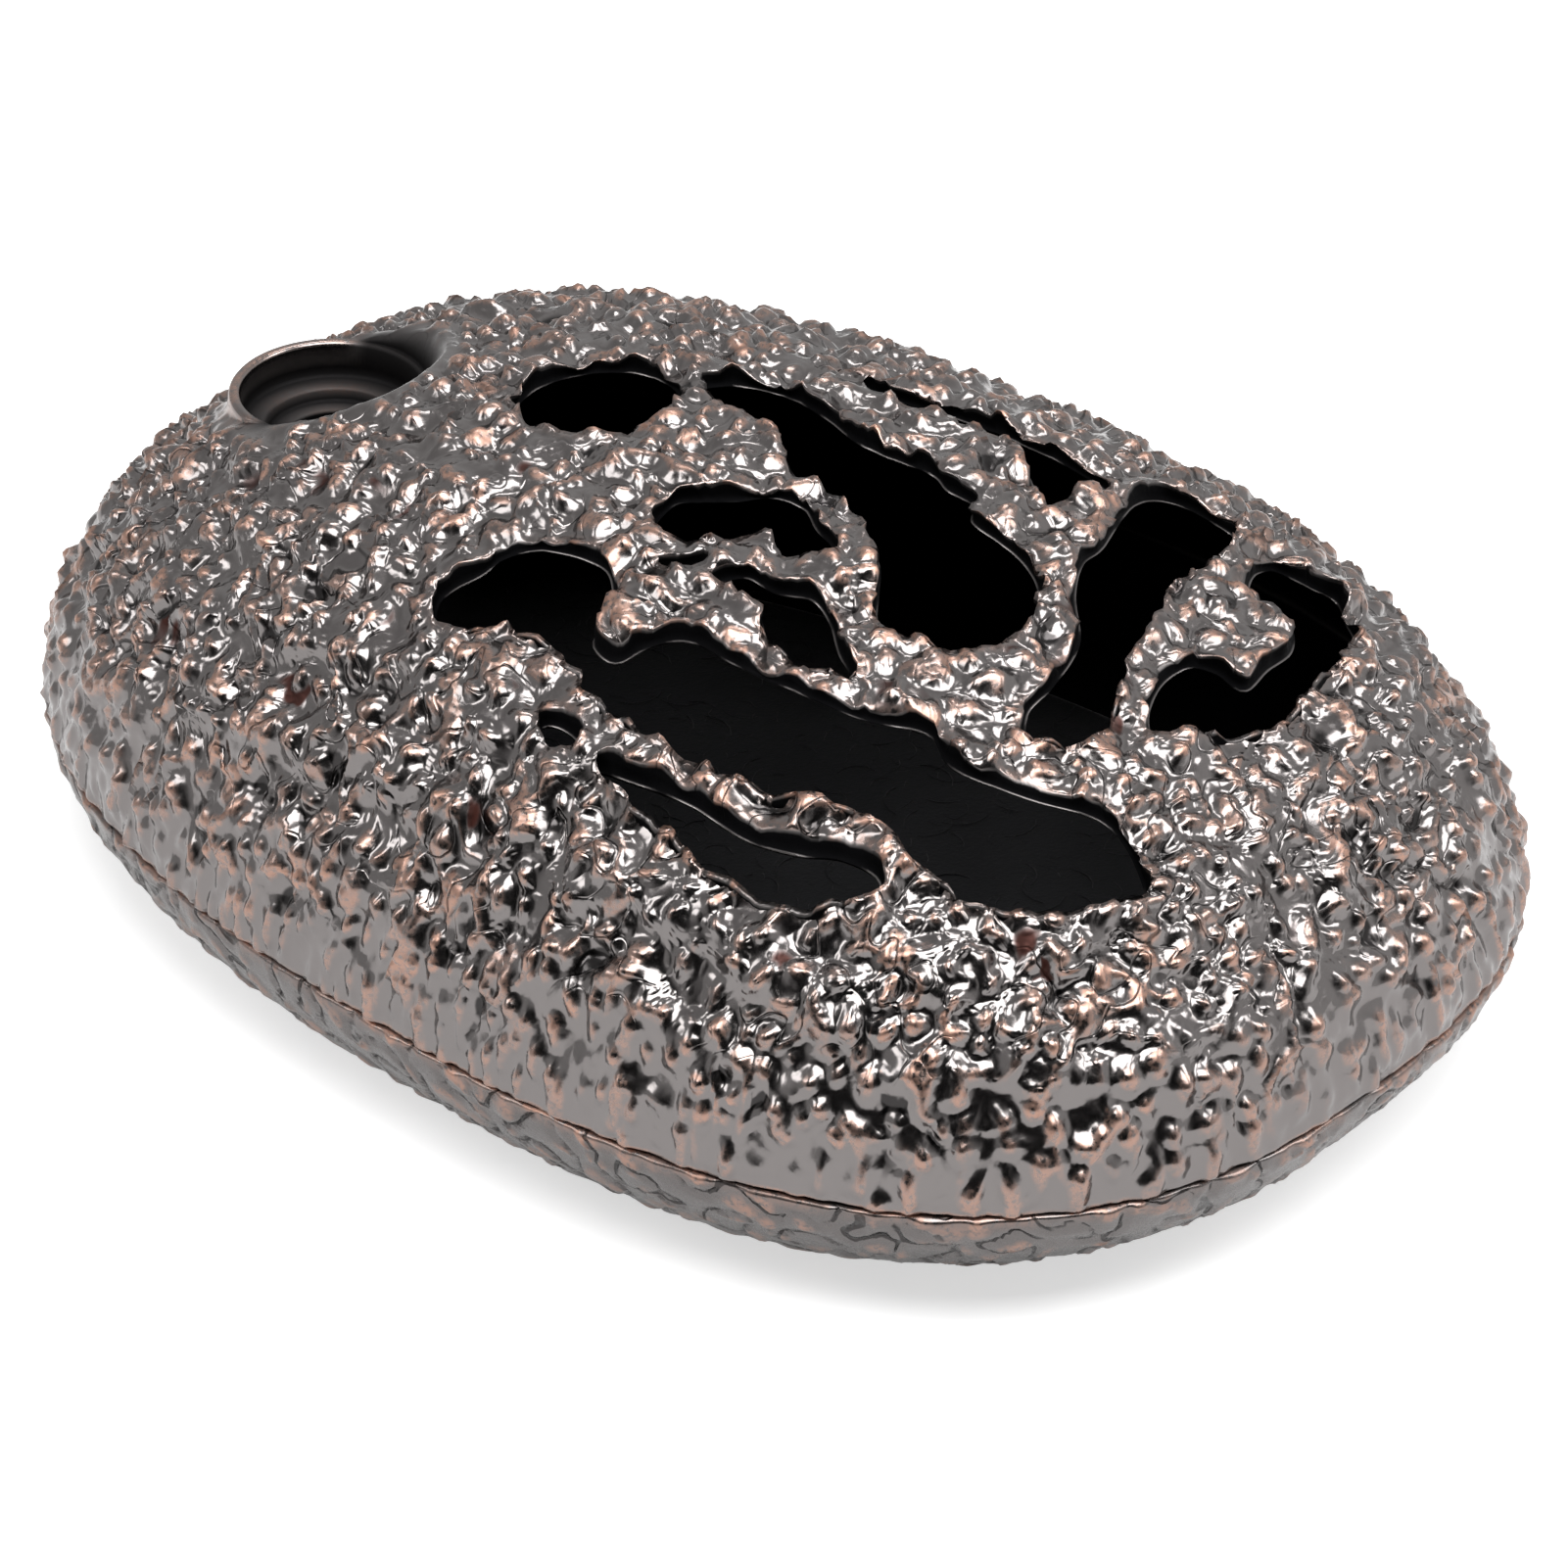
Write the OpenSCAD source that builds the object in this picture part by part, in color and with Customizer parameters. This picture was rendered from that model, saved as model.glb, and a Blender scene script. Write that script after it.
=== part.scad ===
// Backflow incense burner shaped like a lava pebble: a pierced cast lid that carries
// the cone seat, a shallow cast tray, a loose fire-resistant mat and four small pads.
// Millimetres. Origin: middle of the footprint, on the surface that it stands on.
// +X runs along the length towards the wide end, +Z is up, the seat is at the -X end.

/* [Castings] */
// Length over the cast skin
body_l = 121; // [112:1:136]
// Width over the cast skin
body_w = 85; // [78:1:98]
// Height of the lid above the seam
lid_h = 31.2; // [28:0.2:38]
// Height of the tray from its underside to the seam
tray_h = 11; // [10:0.5:14]
// Wall of both castings
wall = 1.8; // [1.6:0.1:2.6]
// Floor of the tray
floor_t = 2.2; // [1.8:0.1:3]
// Power of the plan outline, 2 is an ellipse
plan_power = 2.5; // [2.2:0.1:2.8]
// Power of the lid's profile, 2 is an ellipse
dome_power = 2.14; // [1.9:0.02:2.4]
// Power of the tray's profile, 2 is an ellipse
bowl_power = 1.83; // [1.7:0.01:2.1]
// How much wider the +X end is than the middle
egg = 0.1; // [0:0.01:0.14]
// Share of the plan outline that the flat underside keeps
foot_share = 0.82; // [0.76:0.01:0.86]
// Bevel of the two lips that meet at the seam
lip_bevel = 0.5; // [0.3:0.1:0.8]

/* [Cast relief] */
// Depth of the hollows between the lumps on the lid
relief_depth = 0.8; // [0.3:0.1:1]
// Distance from lump to lump
relief_pitch = 7; // [6:0.2:10]

/* [Locating lip] */
// Height of the tray's inner lip above the seam
lip_h = 9; // [5:0.5:12]
// Thickness of the lip
lip_t = 1.5; // [1.2:0.1:2]
// Gap between the lip and the inside of the lid
lip_gap = 0.4; // [0.3:0.1:0.8]

/* [Cone seat] */
// Distance of the seat from the middle, towards -X
seat_x = 38; // [34:0.5:40]
// Distance of the seat from the long axis, towards -Y
seat_y = 5; // [-6:0.5:8]
// Radius of the seat that takes the cone
seat_r = 7.05; // [6:0.05:7.5]
// Depth of the seat
seat_depth = 3; // [2:0.1:3.6]
// Radius of the step below the seat, for slim cones
step_r = 5.15; // [4.5:0.05:5.5]
// Depth of the step
step_depth = 1.1; // [0.8:0.1:1.6]
// Radius of the smoke hole
smoke_r = 3.5; // [2:0.1:4]
// Web of the collar round the smoke hole
web_t = 1.6; // [1.2:0.1:2.4]
// Thickness of the collar at its rim
collar_t = 0.95; // [0.8:0.05:1.4]
// Depth of the rim below the lid's skin at the seat's centre
rim_sink = 1.5; // [0.5:0.1:2]
// Gap between the seat and the pocket's wall on the uphill side
pocket_gap = 0.45; // [0.3:0.05:0.6]

/* [Openwork] */
// Radius of the moon opening
moon_r = 6.4; // [5:0.1:7]

/* [Mat and pads] */
// Thickness of the mat
mat_t = 3; // [2:0.5:4]
// Gap between the mat and the tray's wall
mat_gap = 2.5; // [0.3:0.1:4]
// Rounding of the mat's edge
mat_edge = 0.6; // [0.3:0.1:0.9]
// Radius of a pad
pad_r = 4.5; // [3:0.5:6]
// How far a pad stands proud of the underside
pad_proud = 0.8; // [0.5:0.1:1.2]
// Depth of the pocket that holds a pad
pad_pocket = 0.6; // [0.4:0.1:0.8]
// Gap round a pad in its pocket
pad_gap = 0.2; // [0.1:0.05:0.4]
// Distance of a pad's centre from the middle, along X
pad_x = 33; // [26:1:35]
// Distance of a pad's centre from the middle, along Y
pad_y = 19; // [14:1:20]

/* [Hidden] */

// Facets round the plan outline and up the profiles
around = 96;
skin_around = 128;
skin_steps = 22;
lid_steps = 13;
bowl_steps = 5;
lip_steps = 3;
mat_steps = 3;

// The lumps wander off their even pitch, and fade out at the seam, the seat and the top
relief_drift = 2;
relief_bend = 13;
relief_fade = 3;
// Height over which the lumps come in above the seam, where the band stays even
even_band = 9;
// How steeply the lumps rise out of the hollows
relief_gain = 1.6;
// Draws the rings of the skin closer together near the top
ring_spread = 0.85;

// Sizes that the openwork was drawn at, and its scale on this casting
drawn_l = 121;
drawn_w = 85;
draw_x = body_l / drawn_l;
draw_y = body_w / drawn_w;

// Points of the piercings in plan: a branch, its leaves and a moon over a scholar's rock
moon_at = [-14, -1];
leaf = [[-9.5, 6], [-7.5, 8.5], [-4, 9.5], [1, 8.5], [5.5, 7], [11.5, 7.5], [14, 6.5],
    [16.5, 6.5], [18, 4.5], [22, 4], [25.5, 2.5], [28, -0.5], [29, -3], [28.5, -7.5],
    [27, -9], [23, -10.5], [20.5, -10], [18.5, -7.5], [16.5, -5], [13, -2.5], [9.5, -1],
    [5, -0.5], [1, 2], [-3, 3], [-6.5, 4]];
slot = [[-4, 16], [0, 15.5], [4, 16.5], [8, 17.5], [14, 18], [19.5, 18], [21, 16.5],
    [20.5, 14], [20.5, 11], [19.5, 10.5], [17, 12.5], [14.5, 14.5], [12, 15], [8, 14.5],
    [4, 14], [0, 14], [-2.5, 15]];
trunk = [[22.5, 21], [24, 23], [26.5, 23.5], [28.5, 23], [30.5, 19.5], [31.5, 15],
    [32.5, 10], [34, 5.5], [36, -0.5], [38.5, -5], [38.5, -8.5], [37, -11], [35.5, -11.5],
    [33.5, -9], [33, -5.5], [31.5, -0.5], [28, 3.5], [26, 7], [25.5, 10], [23.5, 15],
    [22.5, 18]];
hook = [[32.5, 22.5], [34.5, 24], [36, 25.5], [38.5, 23.5], [41, 21.5], [42.5, 17.5],
    [44, 12], [45, 7], [44.5, 3], [43, -0.5], [41, -3], [39, -2], [37.5, 1.5], [37.5, 5],
    [39, 6.5], [41, 7], [40.5, 10.5], [40, 14], [38, 16.5], [35, 16], [33.5, 17.5],
    [32.5, 20]];
bean = [[0, -8.5], [1.5, -7], [3.5, -5.5], [5, -3.5], [8, -3], [10.5, -4.5], [13, -5.5],
    [14.5, -7.5], [13, -8.5], [11, -9.5], [9, -8], [8, -8], [6.5, -10], [4.5, -11.5],
    [2.5, -13], [0.5, -11.5]];
bud = [[4, -15], [5.5, -14], [6.5, -13], [7.5, -13.5], [7, -14.5], [5, -15.5]];
twig = [[8.5, -14], [10, -12], [13, -12], [15.5, -11], [18, -12], [20.5, -14], [23, -15.5],
    [21, -17], [17, -17], [15, -16], [13.5, -15], [10, -14.5]];
ravine = [[-9.5, -24], [-8, -21], [-7.5, -19], [-5, -17], [0, -16.5], [2.5, -18],
    [4, -20.5], [4.5, -22.5], [7, -23], [8.5, -20.5], [11, -19], [15, -19], [20, -18.5],
    [25.5, -17.5], [30, -15.5], [33, -16.5], [38, -14.5], [43, -11.5], [47, -12.5],
    [48.5, -14.5], [47, -17.5], [44.5, -21], [41, -24], [36, -24.5], [31, -24.5],
    [25, -26.5], [20, -27.5], [13, -27.5], [8, -27], [3, -25], [-2.5, -25], [-7, -26.5]];
crescent = [[11, -30], [14.5, -29.5], [19, -29], [24, -29], [28, -28], [31, -26.5],
    [34, -26], [35, -27.5], [33, -30], [29.5, -32], [24, -32.5], [17, -32], [13, -31]];
pebble = [[5, -29], [6.5, -28.5], [9, -29], [9.5, -30.5], [7.5, -31], [6, -30.5]];
piercings = [leaf, slot, trunk, hook, bean, bud, twig, ravine, crescent, pebble];
curve_steps = 3;

// Heights
seam_z = pad_proud + tray_h;
floor_z = pad_proud + floor_t;
top_z = seam_z + lid_h;
past = 1;

// Plan outline: a superellipse whose +X end is fuller
function signed_pow(v, p) = sign(v) * pow(abs(v), p);
function plan_x(t) = signed_pow(cos(t), 2 / plan_power);
function plan_y(t) = signed_pow(sin(t), 2 / plan_power);
plan_peak = max([for (t = [0:1:180]) plan_y(t) * (1 + egg * plan_x(t))]);
half_l = body_l / 2;
half_w = body_w / 2 / plan_peak;

// One point or ring of the outline, drawn in by inset, at the share r of its size
function outline_point(t, inset, r, z) = let (x = (half_l - inset) * plan_x(t) * r)
    [x, (half_w - inset) * plan_y(t) * r * (1 + egg * x / half_l), z];
function ring(inset, r, z) = [
    for (i = [0:around - 1]) outline_point(360 * i / around, inset, r, z)
];

// Profile of the lid: share and height at the angle p
function dome_share(p) = pow(cos(p), 2 / dome_power);
function dome_rise(p) = pow(sin(p), 2 / dome_power);
function share_at(rise) = pow(1 - pow(rise, dome_power), 1 / dome_power);

// Profile of the tray: the share of the outline at a depth below the seam
bowl_full = tray_h / pow(1 - pow(foot_share, bowl_power), 1 / bowl_power);
function bowl_share(depth) = pow(1 - pow(depth / bowl_full, bowl_power), 1 / bowl_power);

// Height of the lid's skin over a point of the plan
function plan_share(x, y) = pow(
    pow(abs(x) / half_l, plan_power)
    + pow(abs(y) / (half_w * (1 + egg * x / half_l)), plan_power), 1 / plan_power);
function skin_z(x, y) = seam_z
    + lid_h * pow(1 - pow(plan_share(x, y), dome_power), 1 / dome_power);
rim_z = skin_z(-seat_x, -seat_y) - rim_sink;
seat_floor_z = rim_z - seat_depth;
step_floor_z = seat_floor_z - step_depth;
collar_foot_z = step_floor_z - web_t;
collar_r = seat_r + collar_t;
collar_flare = 1.2;
collar_straight = 0.8;

// Share of the outline that the flat tip of the dome keeps
crown = 0.02;

// Cast relief at a point of the lid's skin: 0 on a lump, 1 in a hollow
function unit(v) = min(1, max(0, v));
function wave(v, w) = cos(360 * (v + relief_drift * sin(relief_bend * w)) / relief_pitch);
function hollow(p) = unit(0.5
    - relief_gain * (wave(p[0], p[1]) + wave(p[1], p[2]) + wave(p[2], p[0])) / 3);
function calm(p) = min(
    unit((p[2] - seam_z) / even_band - 0.2),
    unit((norm([p[0] + seat_x, p[1] + seat_y]) - collar_r) / relief_fade - 0.5),
    unit(norm([p[0], p[1]]) / relief_fade - 0.5));
function cast_ring(r, rise) = [
    for (i = [0:skin_around - 1])
        let (t = 360 * i / skin_around,
            p = outline_point(t, 0, r, seam_z + lid_h * rise),
            d = relief_depth * hollow(p) * calm(p))
                outline_point(t, d, r, seam_z + (lid_h - d) * rise)
];

// Tray's inner face: thick enough at the seam to carry the lid's wall and the lip
lip_inset = wall + lip_gap + lip_t;
bowl_depth = seam_z - floor_z;
function bowl_inset(depth) = lip_inset + (wall - lip_inset) * depth / bowl_depth;

// Smooth closed curve through a list of points
function between(a, b, c, d, t) = 0.5 * (2 * b + (c - a) * t
    + (2 * a - 5 * b + 4 * c - d) * t * t + (3 * b - a - 3 * c + d) * t * t * t);
function smooth(pts) = let (n = len(pts)) [
    for (i = [0:n - 1], k = [0:curve_steps - 1])
        between(pts[(i + n - 1) % n], pts[i], pts[(i + 1) % n], pts[(i + 2) % n],
            k / curve_steps)
];
function drawn(pts) = [for (p = pts) [p[0] * draw_x, p[1] * draw_y]];

// Solid through a stack of rings, bottom first
module loft(rings) {
    n = len(rings[0]);
    last = (len(rings) - 1) * n;
    sides = [
        for (i = [0:len(rings) - 2], j = [0:n - 1])
            let (k = (j + 1) % n, a = i * n, b = a + n)
                each [[a + j, b + k, a + k], [a + j, b + j, b + k]]
    ];
    under = [for (j = [0:n - 1]) j];
    over = [for (j = [n - 1:-1:0]) last + j];
    polyhedron([for (r = rings) each r], concat(sides, [under], [over]), convexity = 8);
}

module lid_skin() {
    edge = [
        for (i = [0:skin_around - 1])
            outline_point(360 * i / skin_around, lip_bevel, 1, seam_z)
    ];
    loft(concat(
        [edge, cast_ring(1, lip_bevel / lid_h)],
        [for (k = [1:skin_steps - 1])
            let (p = 90 * pow(k / skin_steps, ring_spread))
                cast_ring(dome_share(p), dome_rise(p))],
        [cast_ring(crown, 1)]));
}

module lid_hollow() {
    loft(concat(
        [ring(wall, 1, seam_z - past)],
        [for (k = [1:lid_steps - 1])
            let (p = 90 * k / lid_steps)
                ring(wall, dome_share(p), seam_z + (lid_h - wall) * dome_rise(p))],
        [ring(wall, crown, top_z - wall)]));
}

module collar() {
    translate([-seat_x, -seat_y, 0])
        rotate_extrude($fn = 72)
            polygon([[0, collar_foot_z], [collar_r + collar_flare, collar_foot_z],
                [collar_r + collar_flare, seat_floor_z],
                [collar_r, rim_z - collar_straight], [collar_r, rim_z], [0, rim_z]]);
}

module seat_bores() {
    translate([-seat_x, -seat_y, 0]) {
        translate([0, 0, rim_z])
            cylinder(r = seat_r + pocket_gap, h = top_z - rim_z + past, $fn = 72);
        translate([0, 0, seat_floor_z])
            cylinder(r = seat_r, h = seat_depth + past, $fn = 72);
        translate([0, 0, step_floor_z])
            cylinder(r = step_r, h = step_depth + past, $fn = 72);
        translate([0, 0, collar_foot_z - past])
            cylinder(r = smoke_r, h = web_t + 2 * past, $fn = 72);
    }
}

module openwork() {
    translate([moon_at[0] * draw_x, moon_at[1] * draw_y, seam_z])
        cylinder(r = moon_r, h = lid_h + past, $fn = 72);
    for (pts = piercings)
        translate([0, 0, seam_z])
            linear_extrude(lid_h + past)
                polygon(smooth(drawn(pts)));
}

module lid() {
    color([0.36, 0.33, 0.32])
        difference() {
            union() {
                difference() {
                    lid_skin();
                    lid_hollow();
                }
                collar();
            }
            openwork();
            seat_bores();
        }
}

module tray_skin() {
    loft(concat(
        [for (k = [0:bowl_steps - 1])
            let (depth = tray_h * (1 - k / bowl_steps))
                ring(0, bowl_share(depth), seam_z - depth)],
        [ring(0, 1, seam_z - lip_bevel), ring(lip_bevel, 1, seam_z)]));
}

// The lip follows the inside of the lid at an even gap
module lip() {
    loft(concat(
        [ring(wall + lip_gap, 1, seam_z - past)],
        [for (k = [0:lip_steps])
            let (up = lip_h * k / lip_steps)
                ring(wall + lip_gap, share_at(up / (lid_h - wall)), seam_z + up)]));
}

module tray_hollow() {
    loft(concat(
        [for (k = [0:bowl_steps])
            let (depth = bowl_depth * (1 - k / bowl_steps))
                ring(bowl_inset(depth), bowl_share(depth), seam_z - depth)],
        [for (k = [1:lip_steps])
            let (up = lip_h * k / lip_steps)
                ring(lip_inset, share_at(up / (lid_h - wall)), seam_z + up)],
        [ring(lip_inset, share_at(lip_h / (lid_h - wall)), seam_z + lip_h + past)]));
}

module pad_places() {
    for (sx = [-1, 1], sy = [-1, 1])
        translate([sx * pad_x, sy * pad_y, 0])
            children();
}

module tray() {
    color([0.34, 0.31, 0.3])
        difference() {
            union() {
                tray_skin();
                lip();
            }
            tray_hollow();
            pad_places()
                cylinder(r = pad_r + pad_gap, h = pad_proud + pad_pocket, $fn = 48);
        }
}

module fire_mat() {
    share = bowl_share(bowl_depth);
    inset = wall + mat_gap;
    color([0.1, 0.1, 0.11])
        loft(concat(
            [ring(inset + mat_edge, share, floor_z)],
            [for (k = [0:mat_steps])
                let (a = 90 * k / mat_steps)
                    ring(inset + mat_edge * (1 - cos(a)), share,
                        floor_z + mat_t - mat_edge * (1 - sin(a)))]));
}

module foot_pads() {
    color([0.12, 0.12, 0.12])
        pad_places()
            cylinder(r = pad_r, h = pad_proud + pad_pocket, $fn = 48);
}

lid();
tray();
fire_mat();
foot_pads();
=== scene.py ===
"""Looks of a backflow incense burner: two cast shells shaped like a lava pebble.

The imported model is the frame. Every piece here is a finer skin over one of its nodes.
Shapes are worked out in millimetres and turned into metres when a mesh is made.
"""

import math

import bmesh
import bpy
import numpy as np
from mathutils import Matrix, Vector, kdtree, noise
from mathutils.geometry import delaunay_2d_cdt


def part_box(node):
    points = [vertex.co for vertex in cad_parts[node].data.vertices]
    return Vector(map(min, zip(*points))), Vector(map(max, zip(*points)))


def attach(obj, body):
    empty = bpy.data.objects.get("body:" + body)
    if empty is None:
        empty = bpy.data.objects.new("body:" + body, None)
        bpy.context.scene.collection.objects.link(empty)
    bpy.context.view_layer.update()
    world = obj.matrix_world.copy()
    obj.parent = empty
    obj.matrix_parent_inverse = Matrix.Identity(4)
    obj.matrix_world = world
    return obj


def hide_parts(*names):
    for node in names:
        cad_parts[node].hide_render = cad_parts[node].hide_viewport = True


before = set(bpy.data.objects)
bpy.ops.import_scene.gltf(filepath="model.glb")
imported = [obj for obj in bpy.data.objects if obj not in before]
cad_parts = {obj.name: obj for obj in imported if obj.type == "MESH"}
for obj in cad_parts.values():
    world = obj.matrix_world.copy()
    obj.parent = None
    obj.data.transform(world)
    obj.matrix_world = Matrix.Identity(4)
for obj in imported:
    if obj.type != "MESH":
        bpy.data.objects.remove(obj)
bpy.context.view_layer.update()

bl_info = {
    "name": "Backflow Incense Burner",
    "version": (1, 0, 0),
    "blender": (4, 5, 0),
    "location": "3D View > Sidebar > Burner",
    "description": "Builds the cast skins, felt mat, pads and studio of an incense burner",
    "category": "Object",
}

MM = 0.001
LID_LOW, LID_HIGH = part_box("lid")
TRAY_LOW, TRAY_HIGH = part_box("tray")
MAT_LOW, MAT_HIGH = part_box("fire_mat")
PADS_LOW, PADS_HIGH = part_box("foot_pads")

# Piercings in plan, in millimetres: a branch and its leaves over a scholar's rock
LEAF = [(-9.5, 6), (-7.5, 8.5), (-4, 9.5), (1, 8.5), (5.5, 7), (11.5, 7.5), (14, 6.5),
        (16.5, 6.5), (18, 4.5), (22, 4), (25.5, 2.5), (28, -0.5), (29, -3), (28.5, -7.5),
        (27, -9), (23, -10.5), (20.5, -10), (18.5, -7.5), (16.5, -5), (13, -2.5), (9.5, -1),
        (5, -0.5), (1, 2), (-3, 3), (-6.5, 4)]
SLOT = [(-4.5, 16.3), (0, 16), (4, 17), (8, 18), (14, 18.5), (19.5, 18), (21, 16.5),
        (20.5, 14), (20.5, 11), (19.5, 10.5), (17, 12.5), (14.5, 14.2), (12, 14.7), (8, 14.2),
        (4, 13.7), (0, 13.7), (-3, 14.9)]
TRUNK = [(22.5, 21), (24, 23), (26.5, 23.5), (28.5, 23), (30.5, 19.5), (31.5, 15),
         (32.5, 10), (34, 5.5), (36, -0.5), (38.5, -5), (38.5, -8.5), (37, -11),
         (35.5, -11.5), (33.5, -9), (33, -5.5), (31.5, -0.5), (28, 3.5), (26, 7),
         (25.5, 10), (23.5, 15), (22.5, 18)]
HOOK = [(32.5, 22.5), (34.5, 24), (36, 25.5), (38.5, 23.5), (41, 21.5), (42.5, 17.5),
        (44, 12), (45, 7), (44.5, 3), (43, -0.5), (41, -3), (39, -2), (37.5, 1.5), (37.5, 5),
        (39, 6.5), (41, 7), (40.5, 10.5), (40, 14), (38, 16.5), (35, 16), (33.5, 17.5),
        (32.5, 20)]
BEAN = [(0, -8.5), (1.5, -7), (3.5, -5.5), (5, -3.5), (8, -3), (10.5, -4.5), (13, -5.5),
        (14.5, -7.5), (13, -8.5), (11, -9.5), (9, -8), (8, -8), (6.5, -10), (4.5, -11.5),
        (2.5, -13), (0.5, -11.5)]
BUD = [(4, -15), (5.5, -14), (6.5, -13), (7.5, -13.5), (7, -14.5), (5, -15.5)]
TWIG = [(8.5, -14), (10, -12), (13, -12), (15.5, -11), (18, -12), (20.5, -14), (23, -15.5),
        (21, -17), (17, -17), (15, -16), (13.5, -15), (10, -14.5)]
RAVINE = [(-9.5, -24), (-8, -21), (-7.5, -19), (-5, -17), (0, -16.5), (2.5, -18),
          (4, -20.5), (4.5, -22.5), (7, -23), (8.5, -20.5), (11, -19), (15, -19),
          (20, -18.5), (25.5, -17.5), (30, -15.5), (33, -16.5), (38, -14.5), (43, -11.5),
          (47, -12.5), (48.5, -14.5), (47, -17.5), (44.5, -21), (41, -24), (36, -24.5),
          (31, -24.5), (25, -26.5), (20, -27.5), (13, -27.5), (8, -27), (3, -25),
          (-2.5, -25), (-7, -26.5)]
CRESCENT = [(11, -30), (14.5, -29.5), (19, -29), (24, -29), (28, -28), (31, -26.5),
            (34, -26), (35, -27.5), (33, -30), (29.5, -32), (24, -32.5), (17, -32), (13, -31)]
PEBBLE = [(5, -29), (6.5, -28.5), (9, -29), (9.5, -30.5), (7.5, -31), (6, -30.5)]
PIERCINGS = [LEAF, SLOT, TRUNK, HOOK, BEAN, BUD, TWIG, RAVINE, CRESCENT, PEBBLE]
MOON_AT = (-14, -1)

# The round pads and their pockets, and the spacing of the mat's points, in millimetres
PAD_R, PAD_GAP, PAD_POCKET, PAD_POINTS = 4.5, 0.2, 0.6, 48
MAT_STEP = 1.5

# The lid's relief changes between these heights above the table, in metres: drips give way
# to lumps, lumps on the girth's charts to lumps on the unrolled dome, and the crown is calmer
DRIPS_END = (0.0125, 0.0195)
GIRTH_END = (0.0195, 0.0255)
CROWN = (0.034, 0.04)
GIRTH_R = 0.052
# Height of the relief at which the dressed skin lies on the solid's face
SKIN_LEVEL = 0.66
# Height of a row of a hexagonal sheet, in steps
HEX_ROW = 0.866

# Softboxes: turn from the camera and height angle in degrees, distance, width and height in
# metres, and power in parts of the lamps' own
SOFTBOXES = {
    "overhead": (10, 68, 0.9, 0.66, 0.48, 1.8),
    "far": (170, 62, 1.0, 0.42, 0.18, 0.45),
    "left": (-80, 42, 1.0, 0.3, 0.42, 0.43),
    "right": (85, 45, 1.0, 0.32, 0.42, 0.62),
}
FLOOR_HALF = 6.0


def length_property(name, description, default):
    return bpy.props.FloatProperty(name=name, description=description,
                                   default=default * MM, unit="LENGTH", precision=5)


def number_property(name, description, default):
    return bpy.props.FloatProperty(name=name, description=description, default=default)


def colour_property(name, description, default):
    return bpy.props.FloatVectorProperty(name=name, description=description, size=3,
                                         default=default, subtype="COLOR", min=0, max=1)


class BurnerSizes(bpy.types.PropertyGroup):
    """Sizes of the cast skins, the mat and the pads"""

    wall: length_property("Wall", "Wall of both castings", 1.8)
    floor: length_property("Floor", "Floor of the tray", 2.2)
    lip_gap: length_property("Lip gap", "Gap between the tray's lip and the lid", 0.4)
    lip_wall: length_property("Lip wall", "Thickness of the tray's lip", 1.5)
    moon_r: length_property("Moon", "Radius of the round piercing", 6.4)
    seat_x: length_property("Seat X", "Place of the cone seat along the burner", -38)
    seat_y: length_property("Seat Y", "Place of the cone seat across the burner", -5)
    seat_r: length_property("Seat", "Radius of the cone seat", 7.05)
    seat_depth: length_property("Seat depth", "Depth of the cone seat", 3)
    step_r: length_property("Step", "Radius of the step below the seat", 5.15)
    step_depth: length_property("Step depth", "Depth of the step", 1.1)
    smoke_r: length_property("Smoke hole", "Radius of the smoke hole", 3.5)
    web: length_property("Web", "Metal round the smoke hole", 1.6)
    rim_sink: length_property("Rim sink", "Depth of the seat's rim under the skin", 1.5)
    plan_power: number_property("Plan power", "Power of the plan outline", 2.5)
    dome_power: number_property("Dome power", "Power of the lid's profile", 2.14)
    bowl_power: number_property("Bowl power", "Power of the tray's profile", 1.83)
    egg: number_property("Egg", "How much fuller the wide end is", 0.1)
    foot_share: number_property("Foot share", "Share of the outline at the underside", 0.82)
    mesh_step: length_property("Mesh step", "Spacing of the skin's points", 0.47)
    relief: length_property("Relief", "Depth of the lava relief on the lid", 1.1)
    wrinkle: length_property("Wrinkle", "Depth of the wrinkles on the tray", 0.55)
    lump: length_property("Lump", "Width of a lump of the lava relief", 2.3)
    swell: length_property("Swell", "Depth of the broad hollows of the lid", 0.8)
    swell_pitch: length_property("Swell pitch", "Distance between broad swells", 7)
    ragged: length_property("Ragged edge", "How far lumps lean over a piercing", 0.35)


class BurnerColours(bpy.types.PropertyGroup):
    """Colours of the finishes"""

    nickel: colour_property("Nickel", "Black nickel plating", (0.186, 0.172, 0.169))
    copper: colour_property("Copper", "Copper under worn plating", (0.47, 0.27, 0.2))
    patina: colour_property("Patina", "Brown bloom in the hollows", (0.05, 0.018, 0.014))
    # Black of the inside, also used as painted shade on piercing walls, bores, creases and pits
    inside: colour_property("Inside", "Black inside of the castings", (0.005, 0.005, 0.0055))
    felt: colour_property("Felt", "Fire-resistant felt", (0.0035, 0.0035, 0.004))
    rubber: colour_property("Rubber", "Rubber of the pads", (0.022, 0.022, 0.022))
    floor: colour_property("Floor", "Studio floor", (0.66, 0.66, 0.66))


class BurnerStudio(bpy.types.PropertyGroup):
    """Camera and lights"""

    azimuth: number_property("Azimuth", "Camera's turn round the burner, in degrees", 39.93)
    elevation: number_property("Elevation", "Camera's height angle, in degrees", 32.87)
    distance: length_property("Distance", "Camera's distance from its target", 522.3)
    lens: number_property("Lens", "Focal length, in millimetres", 158.4)
    target_x: length_property("Target X", "Point that the camera looks at", 5.65)
    target_y: length_property("Target Y", "Point that the camera looks at", -2.595)
    target_z: length_property("Target Z", "Point that the camera looks at", 15.73)
    lamp: number_property("Lamps", "Power that each softbox takes its part of, in watts", 5.0)


def power(value, p):
    return np.sign(value) * np.abs(value) ** p


def ease(value, low, high):
    t = np.clip((value - low) / (high - low), 0, 1)
    return t * t * (3 - 2 * t)


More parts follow.
